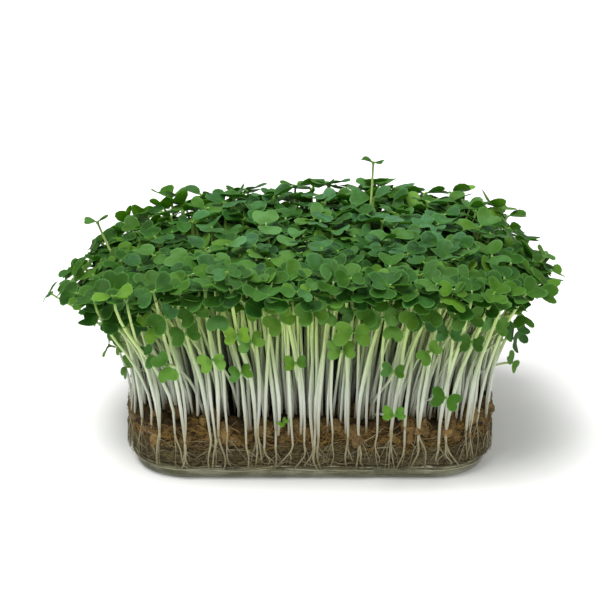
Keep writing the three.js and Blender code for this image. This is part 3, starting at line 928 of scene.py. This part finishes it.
def leaf_paint():
    """Old and new green with veins; painted sheen over wax up high, painted shade low and at the base,
    painted rim highlight.
    """
    paint = Paint("seed leaf")
    x, y = paint.attribute("blade_x"), paint.attribute("blade_y")
    upper, tone, young = (paint.attribute(name) for name in ("upper", "tone", "fresh"))
    outer, high, bloom_and_sheen_share = (paint.attribute(name) for name in ("outer", "high", "wax"))
    cloud = paint.noise(260.0, 3.0)
    mottle = paint.noise(1400.0, 2.0)
    tone = (tone + cloud * 0.6 - 0.3).clipped()
    old = paint.blend(tone, rgb(3, 38, 1), rgb(44, 98, 14))
    new = paint.blend(tone, rgb(66, 114, 4), rgb(140, 184, 56))
    green = paint.blend(young, old, new)
    # Wax bloom and a painted sheen: a pale blue-grey laid over the leaves, most on those high in the
    # crown.
    wax = (paint.ramp(cloud, 0.35, 0.7) * 0.35 + bloom_and_sheen_share * 0.65) * (high * 0.95 + 0.05)
    green = paint.blend(wax, green, rgb(90, 141, 99))
    # Painted shade: leaves low in the crown, old ones most, are blended to a dark green.
    low = (high * -0.55 + 0.55) * (young * -1.3 + 1.0).clipped()
    green = paint.blend(low, green, rgb(32, 68, 1))
    # Painted shade: each blade is darker near its stalk.
    painted_base_shade = paint.ramp(x * x + y * y, 0.28, 0.0)
    green = paint.blend(painted_base_shade * 0.5, green, rgb(46, 96, 8))
    # Painted highlight: a pale band along each blade's rim.
    green = paint.blend(paint.ramp(outer, 0.84, 1.0) * 0.32, green, rgb(104, 162, 84))
    green = paint.blend(paint.ramp(mottle, 0.5, 0.9) * 0.3, green, rgb(26, 66, 22))
    midrib = paint.ramp(x.magnitude(), 0.045, 0.0) * paint.ramp(y, 0.6, 0.2)
    fan = paint.node("ShaderNodeMath", {"operation": "ARCTAN2"}, [x, y + 0.12])
    side_veins = paint.ramp((fan * 13.0).wave(), 0.9, 1.0) * paint.ramp(y, 0.1, 0.4)
    veins = (midrib + side_veins * 0.25).clipped()
    green = paint.blend(veins * 0.3, green, rgb(104, 150, 62))
    under = paint.blend(0.7, green, rgb(96, 156, 14))
    colour = paint.blend(upper, under, green)
    height = cloud * 0.6 - veins * 0.5
    bump = paint.bump(height, 0.35, 0.0005)
    rough = paint.ramp(mottle, 0.2, 0.8) * 0.12 + 0.5
    blade = paint.surface(
        Base_Color=colour, Roughness=rough, Normal=bump, Specular_IOR_Level=0.14, Sheen_Weight=0.02
    )
    light_through = paint.node("ShaderNodeBsdfTranslucent", inputs={"Color": rgb(78, 164, 20)})
    mixed = paint.node("ShaderNodeMixShader", inputs=[LIGHT_THROUGH_LEAF, blade, light_through])
    return paint.finish(mixed)


# %% Stem paint
def stem_paint():
    """White below and green above, with fine streaks, a stained foot, husks and the crown's shade."""
    paint = Paint("stem")
    green, tone, foot = (paint.attribute(name) for name in ("green", "tone", "foot"))
    husk, shade = paint.attribute("husk"), paint.attribute("shade")
    streak = paint.noise(700.0, 2.0, stretch=(1.0, 1.0, 0.06))
    pale = paint.blend(tone, rgb(161, 168, 154), rgb(198, 203, 193))
    shoot = paint.blend(tone, rgb(150, 178, 88), rgb(180, 200, 124))
    colour = paint.blend(green.clipped(), pale, shoot)
    colour = paint.blend(paint.ramp(green, 1.0, 1.9), colour, rgb(84, 122, 38))
    colour = paint.blend(paint.ramp(streak, 0.45, 0.8) * 0.3, colour, rgb(122, 134, 92))
    colour = paint.blend(foot * 0.8, colour, rgb(136, 128, 98))
    colour = paint.blend(shade * 0.4, colour, rgb(84, 84, 54))
    colour = paint.blend(husk * 0.85, colour, rgb(98, 78, 36))
    bump = paint.bump(streak, 0.25, 0.0003)
    stem = paint.surface(
        Base_Color=colour,
        Roughness=0.38,
        Normal=bump,
        Subsurface_Weight=0.15,
        Subsurface_Radius=(0.002, 0.002, 0.001),
        Subsurface_Scale=0.6,
    )
    return paint.finish(stem)


SPROUT_PAINTS = [stem_paint(), leaf_paint()]
STEM, LEAF = 0, 1
print("paints:", [paint.name for paint in SPROUT_PAINTS])

# %% [markdown]
# ## One piece for each clump
# The solids hold the sprouts in clumps, in eight columns and four rows. Each clump's fine sprouts become
# one piece, which stands for that solid.

# %% Sprouts into clumps
def clump_of(root):
    """The column and row of the clump that a root belongs to."""
    a, b = root[:, 0] / ROOT_HALF[0], root[:, 1] / ROOT_HALF[1]
    column = np.clip(np.floor((a + 1) / 2 * CLUMP_COLUMNS), 0, CLUMP_COLUMNS - 1)
    row = np.clip(np.floor((b + 1) / 2 * CLUMP_ROWS), 0, CLUMP_ROWS - 1)
    return column.astype(int), row.astype(int)


tone = draw(index, 4, 1) ** 2
stem_tone = 0.36 + 0.46 * draw(index, 4, 2)
# How high the leaves sit in the crown, less at the front: the leaf paint gives high leaves a painted sheen
# and low ones painted shade.
high = smooth(sprouts["tip"][:, 2], 66, 80) * (1 - 0.65 * smooth(-sprouts["tip"][:, 1], 10, 45))
high[loose] = 0.6 * draw(index[loose], 4, 3)
columns, rows = clump_of(sprouts["root"])


def sprout_piece(column, row):
    """The mesh of the sprouts of one clump: stems, stalks and blades."""
    own = np.nonzero((columns == column) & (rows == row))[0]
    gathered = Gathered()
    points, faces = rods(stems[own], stem_radius[own], STEM_SIDES)
    shape = points.shape[:-1]
    own_tone = np.broadcast_to(stem_tone[own][:, None, None], shape)
    greens = np.broadcast_to(stem_green[own][:, :, None], shape)
    worn = {"foot": stem_foot[own], "husk": stem_husk[own], "shade": stem_shade[own]}
    worn = {key: np.broadcast_to(value[:, :, None], shape) for key, value in worn.items()}
    gathered.add(points, faces, STEM, tone=own_tone, green=greens, **worn)
    for k, (stalk, (blade, values)) in enumerate(zip(stalks, leaves)):
        thin = np.broadcast_to(STALK_RADII, stalk[own].shape[:2])
        points, faces = rods(stalk[own], thin, STALK_SIDES)
        gathered.add(points, faces, STEM, tone=tone[own][:, None, None] * 0.4, green=1.8)
        rings, around = blade.shape[1:3]
        faces = tube_faces(len(own), rings, around)
        picked = {key: value[own] for key, value in values.items()}
        leaf_tone = (tone[own] * 0.7 + 0.3 * draw(own, 8, k))[:, None, None]
        each = {"tone": leaf_tone, "fresh": fresh[own][:, None, None], "high": high[own][:, None, None]}
        each["wax"] = draw(own, 9, k)[:, None, None] ** 1.8
        gathered.add(blade[own], faces, LEAF, **picked, **each)
    piece = gathered.build(f"leafy_sprouts_column_{column + 1}_row_{row + 1}", SPROUT_PAINTS)
    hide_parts(f"sprouts_column_{column + 1}_row_{row + 1}")
    return len(own), len(piece.data.polygons)


made = [sprout_piece(c, r) for r in range(CLUMP_ROWS) for c in range(CLUMP_COLUMNS)]
print(sum(m[0] for m in made), "sprouts with", sum(m[1] for m in made), "faces")

# %% [markdown]
# ## The growing mat
# The mat is a block of damp plant fibre, as thick as a finger, with round corners. Its side is a profile
# carried round the outline: out from under the block, up the side, and in over the top. Noise moves the
# surface in and out, in long flat layers on the side and in humps on top. It stands for the mat's solid.

# %% Carrying a profile round an outline
SMALLEST_CORNER = 0.5


def swept(half, corner, profile, around, relief):
    """A surface from a profile of (inset, height) pairs, carried round a rectangle with round corners.

    relief(points) gives how far each point is moved outwards and how far upwards.
    """
    shares = np.arange(around) / around
    rows = [outline(half - inset, max(corner - inset, SMALLEST_CORNER), shares) for inset, _ in profile]
    place, out = np.stack([row[0] for row in rows]), np.stack([row[1] for row in rows])
    heights = np.broadcast_to([[[height]] for _, height in profile], (len(profile), around, 1))
    points = np.concatenate([place, heights], -1)
    outwards, upwards = relief(points)
    points[..., :2] += out * outwards[..., None]
    points[..., 2] += upwards
    return points[None]


MAT_AROUND = 420
MAT_PROFILE = [(14, 5.3), (4, 5.2), (1.4, 5.4), (0.5, 6.2), (0.2, 7.4), (0.1, 8.8), (0.1, 10.2)]
MAT_PROFILE += [(0.1, 11.6), (0.1, 13), (0.15, 14.4), (0.2, 15.8), (0.3, 17.2), (0.5, 18.6), (0.9, 19.9)]
MAT_PROFILE += [(1.6, 20.9), (2.7, 21.5), (4.2, 21.7), (6.2, 21.6), (9, 21.4), (13, 21.2), (18, 21)]


def mat_relief(points):
    """Flat layers on the side, from noise that is stretched along the mat, and humps towards the top."""
    long_way = points * np.array([0.35, 0.35, 1.6])
    layers = noise_at(long_way, 3.2, 1) * 0.55 + noise_at(points, 2.1, 2) * 0.3
    layers += noise_at(points, 9.0, 5) * 0.5
    top = smooth(points[..., 2], 17, 21)
    humps = noise_at(points * np.array([1, 1, 0]), 6.5, 4) * 2.3 + noise_at(points, 2.6, 6) * 0.8
    foot = smooth(points[..., 2], 5.2, 8)
    return layers * foot - 0.35, humps * top


mat_points = swept(MAT_HALF, MAT_CORNER, MAT_PROFILE, MAT_AROUND, mat_relief)
print("mat surface of", mat_points[..., 0].size, "points")


# %% Mat paint
def mat_paint():
    """Milky brown fibre below and golden husks above, with crumbs, and painted shade in patches high on
    the side and over the inner top.
    """
    paint = Paint("mat fibre")
    place = paint.place()
    layers = paint.noise(330.0, 6.0, stretch=(0.35, 0.35, 2.2), distortion=1.2)
    crumbs = paint.noise(900.0, 4.0)
    damp = paint.noise(70.0, 2.0)
    height = paint.node("ShaderNodeSeparateXYZ", inputs=[place], output=2)
    lifted = height + damp * 0.004 - 0.002
    earth = paint.blend(paint.ramp(layers, 0.36, 0.64), rgb(38, 31, 12), rgb(92, 82, 48))
    husky = paint.blend(paint.ramp(layers, 0.38, 0.66), rgb(46, 30, 6), rgb(120, 94, 40))
    milky = paint.ramp(paint.noise(55.0, 2.0), 0.52, 0.66)
    earth = paint.blend(milky * 0.55, earth, rgb(122, 117, 92))
    colour = paint.blend(paint.ramp(lifted, 0.0105, 0.0155), earth, husky)
    colour = paint.blend(paint.ramp(crumbs, 0.52, 0.75) * 0.3, colour, rgb(118, 102, 60))
    colour = paint.blend(paint.ramp(crumbs, 0.5, 0.38) * 0.75, colour, rgb(16, 10, 3))
    # Painted shade: dark brown patches over the upper band of the mat's side.
    painted_shade_patch = paint.ramp(paint.noise(130.0, 3.0), 0.43, 0.55) * paint.ramp(height, 0.0145, 0.0185)
    colour = paint.blend(painted_shade_patch * 0.75, colour, rgb(36, 25, 7))
    # Painted shade: the mat's top away from its edge goes dark brown, as under the stems.
    colour = paint.blend(paint.attribute("inner") * 0.85, colour, rgb(34, 24, 7))
    bump = paint.bump(layers + crumbs * 0.8, 0.9, 0.0012)
    mat = paint.surface(Base_Color=colour, Roughness=0.85, Normal=bump, Specular_IOR_Level=0.25)
    return paint.finish(mat)


def strand_paint(name, dark, light, rough):
    """A thin fibre or root: its colour goes from dark to light with the strand, and shifts along it."""
    paint = Paint(name)
    tone = paint.attribute("tone")
    patches = paint.noise(600.0, 2.0)
    colour = paint.blend((tone * 0.75 + paint.ramp(patches, 0.3, 0.8) * 0.35).clipped(), dark, light)
    return paint.finish(paint.surface(Base_Color=colour, Roughness=rough, Specular_IOR_Level=0.35))


MAT_PAINT = mat_paint()
GOLDEN_FIBRE = strand_paint("golden fibre", rgb(66, 46, 12), rgb(124, 98, 44), 0.6)
BROWN_FIBRE = strand_paint("brown fibre", rgb(54, 45, 20), rgb(94, 84, 50), 0.7)
PALE_ROOT = strand_paint("pale root", rgb(84, 72, 40), rgb(148, 142, 112), 0.45)

# %% [markdown]
# ## Fibres on the mat
# What makes the block read as fibre is its ends: hundreds of thin strands lie along its side, mostly
# level, and stick out of it a little. Each one follows the mat's outline for a short way and wavers.

# %% Fibres along the side
FIBRE_RINGS = 7
FIBRE_LOWEST, FIBRE_HIGHEST = 5.0, 23.2
MAT_MIDDLE = 15
MAT_ROUND = 2 * (MAT_HALF.sum() * 2 - 4 * MAT_CORNER) + 2 * np.pi * MAT_CORNER


def on_outline(half, corner, shares, proud, z):
    """Paths at these shares of an outline, so far outside it and so high."""
    place, out = outline(half, corner, shares)
    return np.concatenate([place + out * proud[..., None], z[..., None]], -1)


def side_strands(count, seed, low, high, reach, radius, climb, stand):
    """Paths and radii of strands that lie along the mat's side.

    A strand starts at a drawn place, runs along the outline for up to the reach, in millimetres, climbs
    by up to the climb over its length, and stands up to a distance proud of the side.
    """
    draws = np.random.default_rng(seed)
    t = np.linspace(-0.5, 0.5, FIBRE_RINGS)[None]
    start = draws.random((count, 1))
    run = reach * (0.3 + 0.7 * draws.random((count, 1))) * draws.choice([-1, 1], (count, 1))
    bend = draws.normal(0, 1, (count, 1)) * (t**2 - 0.08) * reach * 0.5
    z = low + (high - low) * draws.random((count, 1)) + climb * draws.normal(0, 1, (count, 1)) * t + bend
    z = np.clip(z, FIBRE_LOWEST, FIBRE_HIGHEST)
    proud = stand * draws.random((count, 1)) + 0.5 * draws.random((count, 1)) * np.cos(np.pi * t)
    paths = on_outline(MAT_HALF, MAT_CORNER, start + run * t / MAT_ROUND, proud - 0.15, z)
    paths += np.stack([noise_at(paths, 2.5, seed + k) * 0.35 for k in range(3)], -1)
    thick = radius * (0.5 + 0.7 * draws.random((count, 1))) * (1 - 1.2 * t**2)
    return paths, thick, draws.random(count)


def add_strands(gathered, strands, paint, sides=3):
    """Adds rods for strands, each given by its path, its radii and its shade."""
    paths, thick, shade = strands
    points, faces = rods(paths, thick, sides)
    gathered.add(points, faces, paint, tone=shade.reshape(len(paths), -1, 1))


def mat_piece():
    """The mat with brown strands low down, golden ones higher up and pale roots all over."""
    gathered = Gathered()
    inset, height = np.array(MAT_PROFILE).T
    # Where the mat's top lies well inside its edge, which its paint turns into painted shade.
    inner = smooth(inset, 2.0, 8.0) * (height > MAT_MIDDLE)
    gathered.add(mat_points, tube_faces(1, *mat_points.shape[1:3]), 0, inner=inner[None, :, None])
    add_strands(gathered, side_strands(700, 11, 5.5, 14, 16, 0.14, 2.0, 0.3), 1)
    add_strands(gathered, side_strands(450, 12, 12, 21, 7, 0.15, 4.0, 0.5), 2)
    add_strands(gathered, side_strands(120, 13, 6, 19, 10, 0.11, 7.0, 0.7), 3)
    piece = gathered.build("fibre_mat", [MAT_PAINT, BROWN_FIBRE, GOLDEN_FIBRE, PALE_ROOT])
    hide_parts("growing_mat")
    print("fibre mat with", len(piece.data.polygons), "faces")


mat_piece()

# %% [markdown]
# ## Spongy seed husks
# Cress seeds swell in a coat of jelly, and when it dries the husks and the mat's fibre stick together in
# golden, spongy lumps where the stems leave the mat, most of all along its upper edge. A lump is a rough
# ball with a tangle of short fibres wound round it.

# %% Places for the lumps
RIM_LUMPS = 110
INNER_LUMPS = 80
LUMP_SEED = 31


def lump_places(draws):
    """Centres and half sizes of lumps round the mat's upper edge, and of more a little way in."""
    share = (np.arange(RIM_LUMPS) + 0.9 * draws.random(RIM_LUMPS)) / RIM_LUMPS
    share += 0.0075 * np.sin(2 * np.pi * 19 * share + 2 * np.sin(2 * np.pi * 3 * share))
    place, out = outline(MAT_HALF, MAT_CORNER, share)
    low = draws.random(RIM_LUMPS) ** 1.5
    raised = 4.5 * np.maximum(draws.random(RIM_LUMPS) - 0.55, 0)
    drawn_in = place - out * (1.9 - 0.5 * low + raised)[:, None]
    rim = np.column_stack([drawn_in, 20.6 - 7.0 * low + 2.2 * raised])
    place, _ = outline(MAT_HALF - 8, MAT_CORNER - 8, draws.random(INNER_LUMPS))
    inner = np.column_stack([place, np.full(INNER_LUMPS, 21.0)])
    inner[:, :2] *= 0.86 + 0.14 * draws.random((INNER_LUMPS, 1))
    inner[:, 2] += 1.2 * draws.random(INNER_LUMPS)
    half = np.concatenate([1.5 + 1.4 * draws.random(RIM_LUMPS), 1.6 + 1.6 * draws.random(INNER_LUMPS)])
    wide = 0.8 + 0.5 * draws.random(len(half))
    stretch = np.stack([wide, 0.9 + 0 * wide, 1.25 / wide**0.5], -1)
    return np.concatenate([rim, inner]), half[:, None] * stretch


# %% Lumps and the fibres round them
LUMP_RINGS, LUMP_SIDES = 8, 12
LUMP_FIBRES = 16


def lumps(centres, half):
    """Ellipsoids made rough by two sizes of noise."""
    lift = np.linspace(-1.5, 1.5, LUMP_RINGS)[:, None]
    turn = np.arange(LUMP_SIDES) / LUMP_SIDES * 2 * np.pi
    level = np.cos(lift)
    ball = np.stack([level * np.cos(turn), level * np.sin(turn), np.sin(lift) + 0 * turn], -1)
    from_centre = ball[None] * half[:, None, None]
    points = centres[:, None, None] + from_centre
    rough = 1 + 0.5 * noise_at(points, 1.9, 33) + 0.36 * noise_at(points, 0.9, 34)
    return centres[:, None, None] + from_centre * rough[..., None]


def wound_fibres(centres, half, draws):
    """Arcs of circles about a drawn axis, stretched as their lump is, which stand off it and waver."""
    owner = np.repeat(np.arange(len(centres)), LUMP_FIBRES)
    axis = unit(draws.normal(size=(len(owner), 3)))
    start = unit(np.cross(axis, draws.normal(size=(len(owner), 3))))
    angle = np.linspace(0, 1, 7) * (0.7 + 1.6 * draws.random((len(owner), 1)))
    c, s = np.cos(angle)[..., None], np.sin(angle)[..., None]
    arc = start[:, None] * c + np.cross(axis, start)[:, None] * s
    away = 0.98 + 0.3 * draws.random((len(owner), 1)) * np.linspace(-0.6, 1, 7)
    paths = centres[owner, None] + arc * half[owner, None] * away[..., None]
    paths += np.stack([noise_at(paths, 1.4, 35 + n) for n in range(3)], -1) * 0.25
    thick = (0.08 + 0.06 * draws.random((len(paths), 1))) * np.array([[0.5, 1, 1, 1, 1, 0.9, 0.4]])
    return paths, thick, draws.random(len(paths))


def lump_piece():
    """The lumps, and the tangle of fibres round each of them."""
    draws = np.random.default_rng(LUMP_SEED)
    centres, half = lump_places(draws)
    points = lumps(centres, half)
    gathered = Gathered()
    faces = tube_faces(len(centres), LUMP_RINGS, LUMP_SIDES)
    gathered.add(points, faces, 0, tone=draws.random(len(centres))[:, None, None])
    add_strands(gathered, wound_fibres(centres, half, draws), 1)
    piece = gathered.build("spongy_seed_husks", [husk_paint(), HUSK_FIBRE])
    print(len(centres), "lumps of husk with", len(piece.data.polygons), "faces")


def husk_paint():
    """Golden sponge: dark pores, and pale crumbs between them."""
    paint = Paint("spongy husk")
    tone = paint.attribute("tone")
    pores = paint.noise(1100.0, 4.0, distortion=1.0)
    broad = paint.noise(300.0, 2.0)
    light = tone * 0.6 + paint.ramp(broad, 0.3, 0.7) * 0.4
    colour = paint.blend(light, rgb(80, 57, 16), rgb(130, 101, 44))
    colour = paint.blend(paint.ramp(pores, 0.5, 0.38) * 0.7, colour, rgb(40, 25, 5))
    colour = paint.blend(paint.ramp(pores, 0.54, 0.68) * 0.4, colour, rgb(142, 120, 62))
    husk = paint.surface(Base_Color=colour, Roughness=0.7, Normal=paint.bump(pores, 1.0, 0.0008))
    return paint.finish(husk)


HUSK_FIBRE = strand_paint("husk fibre", rgb(76, 54, 18), rgb(134, 112, 58), 0.6)
lump_piece()

# %% [markdown]
# ## Roots on the mat's side
# The edge sprouts' roots run down the side of the mat to the felt. Each root takes over from its stem,
# thins as it goes, kinks a few times, and sends out finer side roots. They are pale and a little clear.

# %% Climbing roots
ROOT_SEED, SIDE_ROOT_SEED = 41, 42
MAIN_RINGS, SIDE_RINGS = 15, 7
SIDE_ROOTS = 3


def wandering(count, rings, wide, draws):
    """A smooth sway for each of many strands: three waves of drawn strength, nothing at the start."""
    t = np.linspace(0, 1, rings)[None]
    sway = np.zeros((count, rings))
    for waves in (0.25, 0.5, 1.0):
        strength = draws.normal(0, wide / (1 + 3 * waves), (count, 1))
        phase = 2 * np.pi * draws.random((count, 1))
        sway += strength * (np.sin(2 * np.pi * waves * t + phase) - np.sin(phase))
    return sway


def edge_roots(draws):
    """Main roots: from each edge sprout's foot down the mat's side to the felt, swaying as they go."""
    t = np.linspace(0, 1, MAIN_RINGS)[None]
    begin = stems[edge][:, 0]
    low = 4.2 + 3.5 * draws.random((EDGE_COUNT, 1)) ** 3
    z = begin[:, 2:3] + (low - begin[:, 2:3]) * t
    shares = edge_shares()[1][:, None] + wandering(EDGE_COUNT, MAIN_RINGS, 0.006, draws) * t
    proud = 0.5 + 0.35 * draws.random((EDGE_COUNT, 1)) - 0.9 * smooth(t, 0.86, 1.0)
    paths = on_outline(MAT_HALF, MAT_CORNER, shares, proud, z)
    paths += (begin - paths[:, 0])[:, None] * (1 - smooth(t, 0, 0.6))[..., None]
    end = smooth(np.abs(begin[:, :1]) / MAT_HALF[0], 0.75, 0.95)
    first = stem_radius[edge, :1]
    thick = first * (1 - 0.5 * t) * (1 - 0.6 * end * smooth(t, 0, 0.15))
    return paths, thick, 1.1 - 0.7 * t - 0.3 * draws.random((EDGE_COUNT, 1))


def side_roots(main, draws):
    """Finer roots that leave the main ones part of the way down and spread to both sides."""
    shares = edge_shares()[1]
    began, _ = outline(MAT_HALF, MAT_CORNER, shares)
    t = np.linspace(0, 1, SIDE_RINGS)[None]
    paths = []
    for _ in range(SIDE_ROOTS):
        leave = draws.integers(1, 7, EDGE_COUNT)
        start = main[np.arange(EDGE_COUNT), leave]
        sway = draws.normal(0, 0.007, (EDGE_COUNT, 1)) * t**0.8
        sway = sway + wandering(EDGE_COUNT, SIDE_RINGS, 0.002, draws)
        drop = (start[:, 2:3] - 4.3) * (0.35 + 0.65 * draws.random((EDGE_COUNT, 1)))
        path = on_outline(MAT_HALF, MAT_CORNER, shares[:, None] + sway, 0.6 * t, start[:, 2:3] - drop * t)
        path[..., :2] += (start[:, :2] - began)[:, None] * (1 - t[..., None])
        paths.append(path)
    paths = np.concatenate(paths)
    thick = np.linspace(0.17, 0.06, SIDE_RINGS)[None] * (0.5 + 0.8 * draws.random((len(paths), 1)))
    return paths, thick, 0.7 * draws.random((len(paths), 1))


def root_piece():
    """Main roots and side roots, all of one paint."""
    main = edge_roots(np.random.default_rng(ROOT_SEED))
    gathered = Gathered()
    add_strands(gathered, main, 0, sides=5)
    add_strands(gathered, side_roots(main[0], np.random.default_rng(SIDE_ROOT_SEED)), 0)
    piece = gathered.build("climbing_roots", [PALE_ROOT])
    print("climbing roots with", len(piece.data.polygons), "faces")


root_piece()

# %% [markdown]
# ## Root felt
# Under the mat the roots have nowhere to go, so they circle the foot of the block and mat together into
# a pale felt. A thin pad fills the tray and spreads over its lip, and strands that run along its edge
# make the felt show. This piece stands for the felt's solid.

# %% Felt
FELT_PROFILE = [(16, 0.95), (3.5, 0.95), (1.5, 1.1), (1.05, 1.8), (1.05, 3.1), (-0.4, 3.75), (-1.2, 3.95)]
FELT_PROFILE += [(-1.45, 4.35), (-1.0, 4.8), (1.5, 5.0), (16, 5.0)]
FELT_AROUND = 300
CIRCLING_RINGS = 14


def felt_relief(points):
    """Flat streaks and a fine roughness, only where the felt stands above the tray's lip."""
    above = smooth(points[..., 2], 3.2, 4.0)
    rough = noise_at(points * np.array([0.4, 0.4, 1.4]), 2.2, 21) * 0.35 + noise_at(points, 1.3, 22) * 0.15
    return rough * above, rough * 0.3 * above


def circling(count, seed, low, high, half, reach):
    """Strands that run round the foot, each a good way along the outline and nearly level."""
    draws = np.random.default_rng(seed)
    t = np.linspace(0, 1, CIRCLING_RINGS)[None]
    run = reach * (0.3 + 0.7 * draws.random((count, 1))) * t
    shares = draws.random((count, 1)) + run
    z = low + (high - low) * draws.random((count, 1)) + wandering(count, CIRCLING_RINGS, 0.7, draws)
    proud = 0.35 * draws.random((count, 1)) + 0 * t
    paths = on_outline(half, TRAY_CORNER, shares, proud, np.clip(z, low, high))
    thick = (0.1 + 0.16 * draws.random((count, 1))) * (1 - 0.7 * (2 * t - 1) ** 4)
    return paths, thick, draws.random(count)


def felt_paint():
    """Pale matted roots over a darker ground, with yellow blots."""
    paint = Paint("root felt")
    streaks = paint.noise(420.0, 4.0, stretch=(0.3, 0.3, 2.5), distortion=0.8)
    blots = paint.noise(140.0, 3.0)
    fine = paint.noise(1500.0, 3.0)
    colour = paint.blend(paint.ramp(streaks, 0.36, 0.62), rgb(50, 50, 32), rgb(124, 122, 94))
    colour = paint.blend(paint.ramp(blots, 0.45, 0.65) * 0.5, colour, rgb(118, 112, 74))
    colour = paint.blend(paint.ramp(fine, 0.5, 0.75) * 0.4, colour, rgb(160, 159, 140))
    bump = paint.bump(streaks + fine * 0.5, 0.8, 0.0006)
    return paint.finish(paint.surface(Base_Color=colour, Roughness=0.6, Normal=bump))


def felt_piece():
    """The pad, and strands round it above the lip and inside the tray's wall."""
    points = swept(TRAY_HALF, TRAY_CORNER, FELT_PROFILE, FELT_AROUND, felt_relief)
    gathered = Gathered()
    gathered.add(points, tube_faces(1, *points.shape[1:3]), 0)
    add_strands(gathered, circling(40, 61, 3.6, 5.4, TRAY_HALF + 1.1, 0.06), 1)
    add_strands(gathered, circling(50, 62, 1.2, 3.4, TRAY_HALF - 1.35, 0.1), 1)
    piece = gathered.build("circling_root_felt", [felt_paint(), FELT_ROOT])
    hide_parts("root_felt")
    print("root felt with", len(piece.data.polygons), "faces")


FELT_ROOT = strand_paint("felted root", rgb(126, 124, 96), rgb(172, 168, 142), 0.5)
felt_piece()

# %% [markdown]
# ## The clear tray
# The tray is thin clear plastic, formed over a mould, so its edges are round: a flat floor, a small
# round foot, a low wall and a rolled lip. One profile goes up the outside, over the lip and down the
# inside, and is carried round the outline.

# %% Tray
TRAY_PROFILE = [(16, 0.0), (1.6, 0.0), (0.7, 0.15), (0.2, 0.55), (0.05, 1.1), (0.0, 2.6), (-0.12, 3.0)]
TRAY_PROFILE += [(-0.1, 3.28), (0.2, 3.4), (0.55, 3.3), (0.62, 3.0), (0.66, 1.6), (0.9, 0.95)]
TRAY_PROFILE += [(1.7, 0.66), (16, 0.64)]
TRAY_AROUND = 260


def tray_paint():
    """Thin clear plastic, hazy and a little stained."""
    paint = Paint("clear plastic")
    haze = paint.noise(160.0, 2.0)
    stain = paint.noise(110.0, 4.0, stretch=(1.0, 1.0, 2.5))
    colour = paint.blend(paint.ramp(stain, 0.4, 0.62), rgb(112, 112, 82), rgb(172, 174, 148))
    plastic = paint.surface(
        Base_Color=colour,
        Roughness=paint.ramp(haze, 0.3, 0.8) * 0.12 + 0.08,
        Alpha=0.3,
        Specular_IOR_Level=0.6,
    )
    return paint.finish(plastic)


def no_relief(points):
    """Nothing outwards and nothing upwards: moulded plastic is even."""
    return np.zeros(points.shape[:-1]), 0.0


def tray_piece():
    """The whole tray, carried round its outline without any relief."""
    points = swept(TRAY_HALF, TRAY_CORNER, TRAY_PROFILE, TRAY_AROUND, no_relief)
    gathered = Gathered()
    gathered.add(points, tube_faces(1, *points.shape[1:3]), 0)
    piece = gathered.build("clear_tray", [tray_paint()])
    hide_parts("tray")
    print("clear tray with", len(piece.data.polygons), "faces")


tray_piece()
